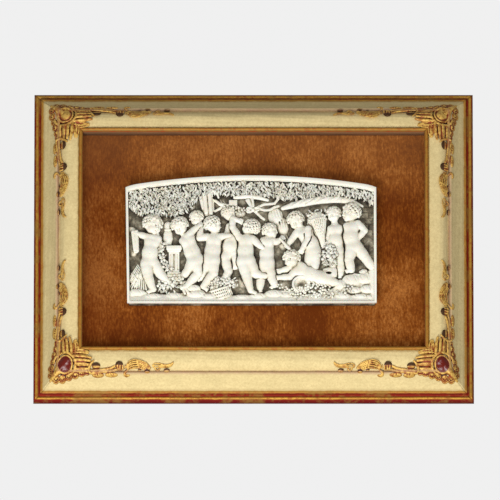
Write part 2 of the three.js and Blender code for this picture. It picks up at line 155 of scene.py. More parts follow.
class Clay:
    """A lump on a grid of x, z and depth. Grids of one cell size line up with each other."""

    def __init__(self, low, high, cell):
        self.cell = cell
        self.first = np.floor(np.array(low) / cell).astype(int) - 2
        last = np.ceil(np.array(high) / cell).astype(int) + 3
        self.body = np.full(last - self.first, FAR, np.float32)

    def window(self, low, high):
        size = self.body.shape
        start = np.clip(np.floor(np.array(low) / self.cell).astype(int) - self.first, 0, size)
        stop = np.clip(np.ceil(np.array(high) / self.cell).astype(int) + 1 - self.first, 0, size)
        cut = tuple(slice(a, b) for a, b in zip(start, stop))
        axes = [
            ((np.arange(a, b) + f) * self.cell).astype(np.float32)
            for a, b, f in zip(start, stop, self.first)
        ]
        return cut, np.meshgrid(*axes, indexing="ij", sparse=True)

    def blend(self, shape, low, high, soft, carve=False):
        margin = soft + 2 * self.cell
        cut, place = self.window(np.array(low) - margin, np.array(high) + margin)
        if min(self.body[cut].shape) == 0:
            return
        if carve:
            self.body[cut] = -soft_min(-self.body[cut], shape(*place), soft)
        else:
            self.body[cut] = soft_min(self.body[cut], shape(*place), soft)

    def ball(self, centre, radii, soft=0.5, carve=False):
        """An ellipsoid, or a ball where radii is one number."""
        cx, cz, cd = centre
        rx, rz, rd = np.ones(3) * radii
        reach = np.array([max(rx, rz), max(rx, rz), rd])

        def shape(x, z, d):
            x, z, d = x - cx, z - cz, d - cd
            k = np.sqrt((x / rx) ** 2 + (z / rz) ** 2 + (d / rd) ** 2)
            slope = np.sqrt((x / rx**2) ** 2 + (z / rz**2) ** 2 + (d / rd**2) ** 2) + 1e-4
            return k * (k - 1) / slope

        self.blend(shape, centre - reach, centre + reach, soft, carve)

    def rod(self, start, end, thick_start, thick_end, flat=0.8, soft=0.5, carve=False):
        """A round-ended tapered rod, flattened in depth."""
        start, end = np.array(start, float), np.array(end, float)
        run = (end - start) / (1, 1, flat)
        reach = max(thick_start, thick_end)

        def shape(x, z, d):
            x, z, d = x - start[0], z - start[1], (d - start[2]) / flat
            t = np.clip((x * run[0] + z * run[1] + d * run[2]) / max(run @ run, 1e-6), 0, 1)
            away = np.sqrt((x - t * run[0]) ** 2 + (z - t * run[1]) ** 2 + (d - t * run[2]) ** 2)
            return away - (thick_start + (thick_end - thick_start) * t)

        low, high = np.minimum(start, end) - reach, np.maximum(start, end) + reach
        self.blend(shape, low, high, soft, carve)

    def strand(self, route, radii, flat=0.8, soft=0.5, carve=False):
        for a, b, ra, rb in zip(route, route[1:], radii, radii[1:]):
            self.rod(a, b, ra, rb, flat, soft, carve)

    def block(self, low, high, soft=0.4, edge=0.3, carve=False):
        """A box with slightly rounded edges."""
        low, high = np.array(low, float), np.array(high, float)
        middle, half = (low + high) / 2, (high - low) / 2 - edge

        def shape(x, z, d):
            away = [np.abs(p - m) - h for p, m, h in zip((x, z, d), middle, half)]
            outside = np.sqrt(sum(np.maximum(a, 0) ** 2 for a in away))
            inside = np.minimum(np.maximum(np.maximum(away[0], away[1]), away[2]), 0)
            return outside + inside - edge

        self.blend(shape, low, high, soft, carve)

    def slab(self, outline, back, front, soft, edge, rough):
        """An outline in the plaque's plane, cut through from back to front, its face left rough."""
        outline = np.array(outline, float)
        low = (*outline.min(axis=0), back)
        high = (*outline.max(axis=0), front + 1)

        def shape(x, z, d):
            side = outline_distance(outline, x, z)
            top = d - front - rough(x, z)
            return -soft_min(-side, -np.maximum(top, back - d), edge)

        self.blend(shape, low, high, soft)

    def merge(self, other, groove=0.0):
        """Takes in another lump, with a groove of a given depth where the two meet."""
        offset = other.first - self.first
        start = np.maximum(offset, 0)
        stop = np.minimum(offset + other.body.shape, self.body.shape)
        mine = tuple(slice(a, b) for a, b in zip(start, stop))
        theirs = tuple(slice(a, b) for a, b in zip(start - offset, stop - offset))
        a, b = self.body[mine], other.body[theirs]
        joined = np.minimum(a, b)
        if groove:
            joined = np.maximum(joined, groove - np.hypot(a, b))
        self.body[mine] = joined

    def trim_back(self, depth):
        d = (np.arange(self.body.shape[2]) + self.first[2]) * self.cell
        self.body = np.maximum(self.body, (depth - d).astype(np.float32)[None, None, :])

    def skin(self, adaptivity=0.0):
        """The surface as points in mm over x, z and depth, and its faces."""
        self.body[[0, -1]] = FAR
        self.body[:, [0, -1]] = FAR
        self.body[:, :, [0, -1]] = FAR
        grid = openvdb.FloatGrid(FAR)
        grid.copyFromArray(self.body)
        points, triangles, quads = grid.convertToPolygons(0.0, adaptivity)
        faces = [list(f) for f in triangles] + [list(f) for f in quads]
        return (points + self.first) * self.cell, faces


def outline_distance(outline, x, z):
    """Signed distance in the plane to a closed outline, negative inside."""
    x, z = np.broadcast_arrays(x[..., 0], z[..., 0])
    nearest = np.full(x.shape, 1e9)
    inside = np.zeros(x.shape, bool)
    for (ax, az), (bx, bz) in zip(outline, np.roll(outline, -1, axis=0)):
        run_x, run_z = bx - ax, bz - az
        t = np.clip(((x - ax) * run_x + (z - az) * run_z) / (run_x**2 + run_z**2 + 1e-9), 0, 1)
        gap = (x - ax - t * run_x) ** 2 + (z - az - t * run_z) ** 2
        nearest = np.minimum(nearest, gap)
        crosses = ((az > z) != (bz > z)) & (x < run_x * (z - az) / (run_z + 1e-12) + ax)
        inside ^= crosses
    return (np.sqrt(nearest) * np.where(inside, -1, 1))[..., None]


# Node materials
class Finish:
    """A node material, built up node by node."""

    def __init__(self, name):
        self.material = bpy.data.materials.new(name)
        self.material.use_nodes = True
        self.nodes = self.material.node_tree.nodes
        self.links = self.material.node_tree.links
        self.shader = self.nodes["Principled BSDF"]
        self.place = self.nodes.new("ShaderNodeTexCoord").outputs["Object"]

    def put(self, value, socket):
        if isinstance(value, bpy.types.NodeSocket):
            self.links.new(value, socket)
        else:
            socket.default_value = value

    def fill(self, node, **inputs):
        """Puts values or other nodes' sockets into a node's inputs, named with _ for a space."""
        for name, value in inputs.items():
            self.put(value, node.inputs[name.replace("_", " ")])
        return node

    def add(self, kind, **inputs):
        return self.fill(self.nodes.new(kind), **inputs)

    def set(self, **inputs):
        self.fill(self.shader, **inputs)

    def stored(self, name):
        """The number kept under a name at each point of the mesh."""
        node = self.add("ShaderNodeAttribute")
        node.attribute_name = name
        return node.outputs["Fac"]

    def noise(self, scale, detail=4.0, rough=0.55, stretch=(1, 1, 1)):
        """Cloudy variation with features of about 1/scale metres, stretched along the axes."""
        place = self.add("ShaderNodeMapping", Vector=self.place, Scale=stretch).outputs["Vector"]
        node = self.add("ShaderNodeTexNoise", Vector=place, Scale=scale, Detail=detail, Roughness=rough)
        return node.outputs["Fac"]

    def math(self, operation, a, b, clamp=False):
        node = self.add("ShaderNodeMath")
        node.operation = operation
        node.use_clamp = clamp
        self.put(a, node.inputs[0])
        self.put(b, node.inputs[1])
        return node.outputs["Value"]

    def plus(self, a, b):
        return self.math("ADD", a, b)

    def times(self, a, b, clamp=False):
        return self.math("MULTIPLY", a, b, clamp)

    def span(self, value, low, high, to_low=0.0, to_high=1.0):
        """Takes low..high to to_low..to_high, held at the ends."""
        node = self.add(
            "ShaderNodeMapRange", Value=value, From_Min=low, From_Max=high, To_Min=to_low, To_Max=to_high
        )
        return node.outputs["Result"]

    def ramp(self, value, stops):
        """Runs through stops of (value, 8-bit colour)."""
        node = self.add("ShaderNodeValToRGB", Fac=value)
        marks = node.color_ramp.elements
        while len(marks) < len(stops):
            marks.new(0.5)
        for mark, (at, colour) in zip(marks, stops):
            mark.position = at
            mark.color = linear(colour)
        return node.outputs["Color"]

    def mix(self, share, a, b, kind="MIX"):
        """Two colours, by the share of the second."""
        node = self.add("ShaderNodeMix")
        node.data_type = "RGBA"
        node.blend_type = kind
        self.put(share, node.inputs["Factor"])
        self.put(linear(a) if isinstance(a, tuple) else a, node.inputs[6])
        self.put(linear(b) if isinstance(b, tuple) else b, node.inputs[7])
        return node.outputs[2]

    def bump(self, height, distance, strength):
        node = self.add("ShaderNodeBump", Strength=strength, Distance=distance, Height=height)
        self.set(Normal=node.outputs["Normal"])


def linear(colour):
    """An 8-bit screen colour as the linear values that shaders take."""
    part = [c / 255 for c in colour]
    return tuple(p / 12.92 if p < 0.04045 else ((p + 0.055) / 1.055) ** 2.4 for p in part) + (1.0,)


CREAM = (238, 215, 156)
BOLE = (150, 52, 22)
# Colours of a rail by distance in from its outer edge, in mm; past the rail's width they go on down
# the lip's inner face
LAST_INSET = 44.0
BANDS = [
    (0.0, (110, 14, 8)), (1.3, (128, 24, 10)), (1.9, (196, 146, 52)), (3.6, (178, 130, 48)),
    (4.2, (92, 18, 12)), (4.8, (146, 34, 12)), (5.8, (112, 26, 14)), (6.3, (182, 126, 48)),
    (7.7, (166, 124, 50)), (8.4, (206, 182, 128)), (10.0, CREAM), (18.0, CREAM), (19.3, (212, 178, 138)),
    (20.3, (172, 132, 108)), (21.4, (160, 122, 92)), (22.4, CREAM), (37.4, CREAM), (38.1, (140, 112, 60)),
    (38.7, (168, 120, 46)), (40.6, (180, 126, 48)), (41.4, (136, 108, 50)), (42.0, (160, 60, 20)),
    (42.6, (196, 40, 8)), (43.4, (232, 104, 18)), (44.0, (190, 80, 12)),
]
# How gilt a rail is, as an 8-bit grey by distance in from its outer edge
GILT = [
    (0.0, 0), (1.4, 0), (2.0, 200), (3.7, 160), (4.1, 0), (5.9, 0), (6.3, 180), (7.9, 120), (8.6, 0),
    (38.1, 0), (38.8, 180), (41.0, 140), (41.8, 0),
]


def frame_finish():
    """Cream paint between gilt bands over red bole, rubbed at the edges, with darker bands in the
    grooves.
    """
    f = Finish("frame_finish")
    inset = f.times(f.stored("inset"), 1 / LAST_INSET)
    wander = f.span(f.noise(160, 5), 0.3, 0.7, -0.006, 0.006)
    at = f.plus(inset, wander)
    colour = f.ramp(at, [(w / LAST_INSET, band) for w, band in BANDS])
    gilt = f.ramp(at, [(w / LAST_INSET, (share, share, share)) for w, share in GILT])
    # Rubbed through to the red ground on the gilt, and a warm mottle on the cream
    rubbed = f.span(f.noise(210, 6, 0.7), 0.5, 0.6)
    colour = f.mix(f.times(rubbed, f.times(gilt, 1.2, clamp=True)), colour, BOLE)
    # Leaf and dirt left in patches on the red bands at the outer edge
    patches = f.times(f.span(f.noise(55, 6, 0.75), 0.48, 0.6), 0.7)
    outer = f.span(at, 7.4 / LAST_INSET, 7.8 / LAST_INSET, 1, 0)
    colour = f.mix(f.times(patches, outer), colour, (150, 112, 48))
    mottle = f.span(f.noise(70, 6, 0.7), 0.35, 0.7)
    cream = f.span(at, 8.0 / LAST_INSET, 8.6 / LAST_INSET)
    cream = f.times(cream, f.span(at, 37.6 / LAST_INSET, 38.2 / LAST_INSET, 1, 0))
    colour = f.mix(f.times(mottle, f.times(cream, 0.4)), colour, (196, 178, 124))
    grain = f.span(f.noise(520, 3, 0.75), 0.38, 0.66, 0, 0.4)
    colour = f.mix(f.times(grain, cream), colour, (186, 160, 108))
    specks = f.span(f.noise(900, 3, 0.7), 0.66, 0.78)
    colour = f.mix(f.times(specks, 0.35), colour, (140, 110, 70))
    f.set(Base_Color=colour, Specular_IOR_Level=0.2)
    f.set(Metallic=f.times(gilt, 0.5))
    f.set(Roughness=f.span(gilt, 0, 0.6, 0.7, 0.42))
    f.bump(f.plus(f.noise(420, 5), f.times(f.noise(60, 3), 1.5)), 0.0002, 0.6)
    return f.material


def bare_wood(name, dark, light):
    f = Finish(name)
    grain = f.noise(90, 6, 0.6, (0.08, 1, 1))
    fine = f.noise(700, 4, 0.6, (0.05, 1, 1))
    colour = f.ramp(f.times(f.plus(grain, fine), 0.5), [(0.35, dark), (0.62, light)])
    f.set(Base_Color=colour, Roughness=0.78)
    f.bump(fine, 0.0002, 0.5)
    return f.material


# Moulded rails
def bend(a, control, b, steps):
    """Points after a on a quadratic curve to b."""
    spots = []
    for i in range(1, steps + 1):
        t = i / steps
        spots.append(tuple(
            (1 - t) ** 2 * p + 2 * t * (1 - t) * c + t * t * q for p, c, q in zip(a, control, b)
        ))
    return spots


def moulding_face():
    """The face from the outer edge to the sight edge, as (w, depth)."""
    face = [(0, EDGE_DEPTH)]
    face += bend(face[-1], (2.2, EDGE_DEPTH + 4.6), (3.8, EDGE_DEPTH + 2.3), 10)
    face += bend(face[-1], (4.7, EDGE_DEPTH + 1.7), (5.4, EDGE_DEPTH + 3.1), 5)
    face += [(5.7, EDGE_DEPTH + 5.1)]
    face += bend(face[-1], (6.3, EDGE_DEPTH + 6.0), (8.0, EDGE_DEPTH + 5.9), 5)
    face += bend(face[-1], (13.2, EDGE_DEPTH + 10.8), (18.5, RIDGE_FRONT - 0.6), 18)
    face += bend(face[-1], (18.8, RIDGE_FRONT), (19.4, RIDGE_FRONT), 4)
    face += [(20.5, RIDGE_FRONT)]
    face += bend(face[-1], (21.1, RIDGE_FRONT), (21.3, RIDGE_FRONT - 0.8), 4)
    face += bend(face[-1], (21.8, RIDGE_FRONT - 1.4), (22.4, RIDGE_FRONT - 0.4), 4)
    face += bend(face[-1], (25.2, CUSHION_FRONT - 0.9), (30, CUSHION_FRONT - 0.15), 12)
    face += bend(face[-1], (34, CUSHION_FRONT + 0.1), (37.2, CUSHION_FRONT - 0.5), 8)
    face += bend(face[-1], (37.8, CUSHION_FRONT - 1.5), (38.3, CUSHION_FRONT - 0.4), 4)
    face += bend(face[-1], (39.5, SIGHT_FRONT + 1.4), (RAIL_WIDTH - 0.5, SIGHT_FRONT - 1.6), 12)
    return face


FACE = moulding_face()


def rail_front(w):
    """Depth of the moulding's face at a distance in from its outer edge."""
    return np.interp(w, [p[0] for p in FACE], [p[1] for p in FACE])


def rail_section():
    """The rail's whole section with its rabbet, as (w, depth)."""
    face = [(BACK_CHAMFER, 0.0), (0.0, BACK_CHAMFER)] + FACE
    back = [(RAIL_WIDTH, SIGHT_FRONT - 3), (RAIL_WIDTH, RABBET_DEPTH)]
    lip = RAIL_WIDTH - RABBET_WIDTH
    return face + back + [(lip, RABBET_DEPTH), (lip, 0.0)]


RAIL_STEP = 2.0
# The face sinks and rises this little along a rail, as handwork does
HAND_WANDER = 0.12


def rail(name, length, across, turn, materials):
    """One mitred rail, laid out flat along x and turned into its place."""
    section = rail_section()
    stations = int(length / RAIL_STEP)
    points, insets = [], []
    cos, sin = math.cos(turn), math.sin(turn)
    for i in range(stations + 1):
        share = 2 * i / stations - 1
        for j, (w, depth) in enumerate(section):
            x = share * (length / 2 - w - MITRE_GAP)
            z = w - across / 2
            settle = 0
            if 3 <= j < len(FACE) + 1:
                settle = HAND_WANDER * (math.sin(x * 0.11 + w) + math.sin(x * 0.047 + 2 * w)) * 0.5
                settle -= HAND_WANDER
            points.append((x * cos + z * sin, -(depth + settle), CENTRE_Z - x * sin + z * cos))
            insets.append(LAST_INSET if (w, depth) == (RAIL_WIDTH, RABBET_DEPTH) else w)
    ring = len(section)
    faces = tube_faces(stations + 1, ring)
    piece = mesh_piece(name + "_moulding", points, faces, [name], materials)
    keep_values(piece.data, "inset", insets)
    last_face = ring - 4
    for face in piece.data.polygons:
        edge = face.index % ring
        if face.index >= stations * ring or edge == 0 or edge >= last_face:
            face.material_index = 1
    sharpen(piece, 38)


def sharpen(piece, angle):
    """Keeps edges sharp that turn by more than an angle in degrees."""
    with bpy.context.temp_override(active_object=piece, object=piece, selected_objects=[piece]):
        bpy.ops.object.shade_smooth_by_angle(angle=math.radians(angle))


def place_rails():
    # Paint and gilding on the face, bare wood on the back and in the rabbet
    materials = [frame_finish(), bare_wood("rail_wood", (92, 64, 40), (150, 112, 74))]
    turns = {
        "rail_bottom": (FRAME_WIDTH, FRAME_HEIGHT, 0),
        "rail_top": (FRAME_WIDTH, FRAME_HEIGHT, math.pi),
        "rail_right": (FRAME_HEIGHT, FRAME_WIDTH, -math.pi / 2),
        "rail_left": (FRAME_HEIGHT, FRAME_WIDTH, math.pi / 2),
    }
    for name, (length, across, turn) in turns.items():
        rail(name, length, across, turn, materials)


# Velvet over its board
def velvet_finish():
    """Short rust-brown pile, brushed upright in faint stripes."""
    f = Finish("velvet")
    stripes = f.noise(620, 2, 0.7, (1.0, 1.0, 0.3))
    clouds = f.noise(13, 5, 0.65, (1.0, 1.0, 0.8))
    pile = f.noise(560, 3, 0.8, (1.0, 1.0, 0.7))
    brushed = f.plus(f.times(stripes, 0.32), f.times(clouds, 0.68))
    colour = f.ramp(brushed, [(0.41, (104, 48, 8)), (0.5, (146, 80, 24)), (0.59, (188, 118, 54))])
    colour = f.mix(f.span(pile, 0.36, 0.64, 0.0, 0.6), colour, (98, 40, 4))
    # Painted shadow darker towards the left edge, cast by the left rail, and painted light paler towards
    # the top rail
    place = f.nodes.new("ShaderNodeSeparateXYZ")
    f.put(f.place, place.inputs["Vector"])
    colour = f.mix(f.span(place.outputs["X"], -0.15, -0.1, 0.55, 0.0), colour, (88, 30, 2))
    colour = f.mix(f.span(place.outputs["Z"], -0.09, -0.03, 0.0, 0.15), colour, (190, 136, 84))
    f.set(Base_Color=colour, Roughness=0.95, Specular_IOR_Level=0.1)
    f.set(Sheen_Weight=0.3, Sheen_Roughness=0.4, Sheen_Tint=linear((224, 140, 72)))
    f.bump(f.plus(pile, f.times(stripes, 0.6)), 0.0005, 0.9)
    return f.material


def place_velvet():
    low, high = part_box("velvet_cover")
    low, high = np.array(low) / MM, np.array(high) / MM
    step, thickness, clear = 2.0, 1.0, 0.25
    across = np.linspace(low[0], high[0], int((high[0] - low[0]) / step))
    upward = np.linspace(low[2], high[2], int((high[2] - low[2]) / step))
    front = low[1] + clear
    points, faces = [], []
    for layer in (0, thickness):
        for x in across:
            for z in upward:
                swell = 0.1 * math.sin(x * 0.13 + z * 0.05) + 0.08 * math.sin(x * 0.05 - z * 0.17)
                points.append((x, front + swell + layer, z))
    rows, columns = len(across), len(upward)
    for i in range(rows - 1):
        for j in range(columns - 1):
            a = i * columns + j
            quad = (a, a + columns, a + columns + 1, a + 1)
            faces.append(quad)
            faces.append(tuple(k + rows * columns for k in reversed(quad)))
    rim = [i * columns for i in range(rows)]
    rim += [(rows - 1) * columns + j for j in range(1, columns)]
    rim += [i * columns + columns - 1 for i in range(rows - 2, -1, -1)]
    rim += [j for j in range(columns - 2, 0, -1)]
    for a, b in zip(rim, rim[1:] + rim[:1]):
        faces.append((a, a + rows * columns, b + rows * columns, b))
    cloth = mesh_piece("velvet", points, faces, ["velvet_cover"], [velvet_finish()])


def dress_board():
    board = bpy.data.objects["mount_board"]
    board.data.materials.clear()
    board.data.materials.append(bare_wood("board_wood", (88, 60, 36), (138, 102, 66)))


# Ivory carving: heads are modelled in the round, then flattened in depth for relief
CELL = 0.45 if FINE else 0.9
# Lets flat hidden backs take large faces
BACK_MERGE = 0.01
FLAT = 0.66
LIMB_FLAT = 0.85
# A head's size against its figure's, and how far its middle stands before the figure's depth
HEAD_SCALE = 0.94
HEAD_FORWARD = 0.5


class Bearing:
    """A head's own axes: right, up and forward, turned by its yaw, pitch and roll in degrees."""

    def __init__(self, centre, turn, size):
        self.centre = np.array(centre, float)
        self.size = size
        y, p, r = (math.radians(a) for a in turn)
        axes = []
        for x, z, d in ((1, 0, 0), (0, math.cos(p), math.sin(p)), (0, -math.sin(p), math.cos(p))):
            x, d = x * math.cos(y) + d * math.sin(y), d * math.cos(y) - x * math.sin(y)
            axes.append((x * math.cos(r) - z * math.sin(r), x * math.sin(r) + z * math.cos(r), d))
        self.axes = np.array(axes)

    def outward(self, local):
        """A place on the head as x, z and depth on the plaque."""
        return self.centre + (np.array(local, float) * self.size @ self.axes) * (1, 1, FLAT)

    def ball(self, clay, local, radii, soft, carve=False):
        centre = self.outward(local)
        radii = np.ones(3) * radii * self.size
        reach = radii.max()

        def shape(x, z, d):
            x, z, d = x - centre[0], z - centre[1], (d - centre[2]) / FLAT
            own = [a[0] * x + a[1] * z + a[2] * d for a in self.axes]
            k = np.sqrt(sum((o / r) ** 2 for o, r in zip(own, radii)))
            slope = np.sqrt(sum((o / r**2) ** 2 for o, r in zip(own, radii))) + 1e-4
            return k * (k - 1) / slope

        clay.blend(shape, centre - reach, centre + reach, soft, carve)


# Hair: curls lie on a cap over the skull, clear of the face and the nape
CURLS = 92
GOLDEN_TURN = math.pi * (3 - math.sqrt(5))


def curls(clay, bearing, rng):
    for i in range(CURLS):
        up = 1 - 2 * (i + 0.5) / CURLS
        round_by = i * GOLDEN_TURN
        side = math.sqrt(1 - up * up)
        right, forward = side * math.cos(round_by), side * math.sin(round_by)
        on_face = forward > 0.3 and up < 0.5 and abs(right) < 0.8
        if on_face or up < -0.62 or (forward > 0 and up < -0.1):
            continue
        spot = np.array((right * 7.4, up * 7.1 + 1.0, forward * 7.4 - 0.6))
        grow = rng.uniform(0.8, 1.2)
        bearing.ball(clay, spot, 1.45 * grow, 0.05)
        if bearing.outward((0, 0, 0))[2] < bearing.outward(spot)[2] + 1.5:
            aside = np.array((rng.uniform(-0.8, 0.8), rng.uniform(-0.8, 0.8), 0))
            bearing.ball(clay, spot * 1.16 + aside, 0.8 * grow, 0.05, carve=True)


def head(clay, place, depth, size, turn, rng):
    """A child's head with a calm, rounded, general face."""
    middle = (place[0], place[1], depth + HEAD_FORWARD)
    bearing = Bearing(middle, turn, size * HEAD_SCALE)

    def feature(local, radii, soft, carve=False):
        bearing.ball(clay, local, radii, soft, carve)

    # Skull, jaw and forehead
    feature((0, 0.8, -0.6), (6.5, 6.8, 6.9), 0.6)
    feature((0, -2.6, 1.6), (5.2, 4.9, 5.0), 1.2)
    feature((0, 2.4, 2.8), (4.9, 3.8, 3.7), 1.2)
    # Cheeks, eye sockets, eyes, brows, ears and the wings of the nose
    for side in (-1, 1):
        feature((side * 2.8, -2.7, 3.9), (2.5, 2.4, 2.2), 1.0)
        feature((side * 2.4, 0.3, 6.7), (2.0, 1.3, 1.6), 0.7, carve=True)
        feature((side * 2.35, 0.0, 5.0), (1.5, 0.8, 1.1), 0.3)
        feature((side * 2.4, 1.6, 5.6), (2.1, 0.6, 1.0), 0.6)
        feature((side * 6.2, -0.8, -0.2), (1.1, 1.9, 1.4), 0.3)
        feature((side * 6.9, -0.8, 0.4), (0.5, 0.9, 0.7), 0.2, carve=True)
        feature((side * 0.75, -1.95, 6.9), (0.75, 0.6, 0.7), 0.4)
    # Nose, lips and the line between them, chin
    feature((0, -0.2, 6.7), (0.8, 1.6, 1.0), 0.6)
    feature((0, -1.7, 7.4), (0.95, 0.85, 1.0), 0.4)
    feature((0, -3.55, 6.35), (1.5, 0.5, 0.8), 0.3)
    feature((0, -4.4, 6.1), (1.2, 0.5, 0.8), 0.3)
    feature((0, -3.98, 6.8), (1.6, 0.36, 1.0), 0.15, carve=True)
    feature((0, -5.7, 4.6), (1.9, 1.5, 1.6), 0.8)
    curls(clay, bearing, rng)


def hand(clay, wrist, away, depth, size):
    """A small open hand that goes on from the wrist."""
    run = np.array(away, float) / math.hypot(*away)
    aside = np.array((-run[1], run[0]))
    palm = np.array(wrist) + run * 1.8 * size
    clay.ball((*palm, depth), (2.1 * size, 2.1 * size, 1.5), 0.6)
    for finger in range(4):
        spread = (finger - 1.5) * 0.95 * size
        base = palm + aside * spread + run * 0.8
        tip = base + run * (2.5 - 0.25 * abs(finger - 1.2)) * size + aside * spread * 0.35
        clay.rod((*base, depth + 0.1), (*tip, depth - 0.3), 0.72, 0.6, 1, 0.12)
    thumb = palm + aside * 1.7 * size
    thumb_tip = thumb + aside * 0.6 + run * 1.4
    clay.rod((*thumb, depth + 0.3), (*thumb_tip, depth + 0.1), 0.75, 0.6, 1, 0.2)


def foot(clay, ankle, toe, depth, size):
    """A plump foot from the ankle towards its toes."""
    run = np.array(toe, float)
    length = math.hypot(*run)
    run /= length
    aside = np.array((-run[1], run[0]))
    ankle = np.array(ankle, float)
    ball = ankle + run * length * 0.72
    clay.rod((*ankle, depth), (*ball, depth + 0.3), 2.1 * size, 1.75 * size, 0.9, 0.7)
    clay.ball((*(ankle - run), depth - 0.1), 1.9 * size, 0.7)
    for i in range(4):
        spot = ball + run * (1.5 - 0.22 * i) * size + aside * (i - 1.5) * 0.85 * size
        clay.ball((*spot, depth + 0.35), 0.68 * size, 0.18)


# Thickness of arms and legs at their joints, and how softly each grows out of the body
ARM = [3.15, 2.75, 2.25, 2.0]
LEG = [4.9, 4.1, 3.2, 2.2]
ARM_JOINT = 1.3
LEG_JOINT = 2.8


def limb(clay, route, radii, depth, joint):
    """A chubby limb: it swells between its joints and creases lightly at them."""
    spots = [(*spot, depth) for spot in route]
    for a, b, ra, rb in zip(spots, spots[1:], radii, radii[1:]):
        clay.rod(a, b, ra, rb, LIMB_FLAT, joint)
        joint = 0.8
        middle = [p * 0.55 + q * 0.45 for p, q in zip(a, b)]
        swell = (ra + rb) / 2 * 1.06
        toward = [p * 0.4 + q * 0.6 for p, q in zip(a, b)]
        clay.rod(middle, toward, swell, swell * 0.97, LIMB_FLAT, 1.0)
    return spots


def unit(a, b):
    """The direction from a to b in the plaque's plane."""
    run = np.array(b[:2], float) - np.array(a[:2], float)
    return run / np.linalg.norm(run)


def torso(clay, p, size):
    """Neck to hips, modelled from behind where the view is the back, or else from the front."""
    depth = p["depth"]
    top = p.get("neck") or tuple((a + b) / 2 for a, b in zip(p["head"], p["chest"]))
    spots = [(*spot[:2], depth) for spot in (top, p["chest"], p["belly"], p["hips"])]
    radii = [r * size for r in (3.2, 6.1, 6.5, 6.4)]
    clay.strand(spots, radii, 0.6, 2.2)
    down = unit(p["chest"], p["hips"])
    aside = np.array((-down[1], down[0]))
    chest, belly, hips = (np.array(p[k], float) for k in ("chest", "belly", "hips"))
    for side in (-1, 1):
        shoulder = chest - down * 2.6 * size + aside * side * 4.2 * size
        clay.ball((*shoulder, depth + 0.4), (3.0 * size, 3.0 * size, 2.6), 1.4)
    if p.get("view") == "back":
        for side in (-1, 1):
            seat = hips + down * 0.6 + aside * side * 3.35 * size
            clay.ball((*seat, depth + 0.9), (3.9 * size, 4.8 * size, 3.2), 2.4)
            blade = chest + aside * side * 3.2 * size
            clay.ball((*blade, depth + 2.3), (2.6 * size, 3.2 * size, 1.6), 1.8)
        spine = [chest - down * 2, (chest + belly) / 2, belly, hips - down * 3.4 * size]
        clay.strand([(*s, depth + 5.0) for s in spine], [0.8] * 4, 1, 1.2, carve=True)
    else:
        clay.ball((*(belly + down * 0.6), depth + 1.4), (5.7 * size, 6.6 * size, 3.3), 2.4)
        for side in (-1, 1):
            clay.ball((*(chest + aside * side * 2.9 * size), depth + 1.9), (3.2, 3.2, 1.9), 2.2)
        clay.ball((*(belly + down * 1.9), depth + 5.2), (0.55, 0.7, 0.9), 0.25, carve=True)


# No figure goes farther than this from its belly, or higher than this up the plaque
FIGURE_REACH = 42
FIGURE_TOP = 112


def putto(p, rng):
    """One child, in a lump of clay of its own."""
    size, depth = p.get("size", 1), p["depth"]
    middle = np.array(p.get("belly", p["head"]), float)
    low = np.maximum((*(middle - FIGURE_REACH), BURIED), (-HALF_WIDTH, 0, BURIED))
    high = np.minimum((*(middle + FIGURE_REACH), SLAB + 2), (HALF_WIDTH, FIGURE_TOP, SLAB + 2))
    clay = Clay(low, high, CELL)
    if "chest" in p:
        torso(clay, p, size)
    for leg in p.get("legs", []):
        lift = depth + leg.get("lift", 0)
        spots = limb(clay, leg["route"], [r * size for r in LEG], lift, LEG_JOINT)
        if "toe" in leg:
            foot(clay, spots[-1][:2], leg["toe"], spots[-1][2], size)
    for arm in p.get("arms", []):
        lift = depth + arm.get("lift", 1)
        spots = limb(clay, arm["route"], [r * size for r in ARM], lift, ARM_JOINT)
        if arm.get("hand", True):
            hand(clay, spots[-1][:2], unit(spots[-2], spots[-1]), spots[-1][2], size)
    # Hollows are (x, z, half width, half height), creases are routes over arms and body
    for x, z, rx, rz in p.get("hollows", []):
        clay.ball((x, z, depth + 2), (rx, rz, 5.5), 0.3, carve=True)
    for crease in p.get("creases", []):
        for a, b in zip(crease, crease[1:]):
            clay.rod(a, b, 0.5, 0.4, 2.4, 0.1, carve=True)
    head(clay, p["head"], depth + p.get("head_lift", 0), p.get("head_size", size), p["turn"], rng)
    return clay


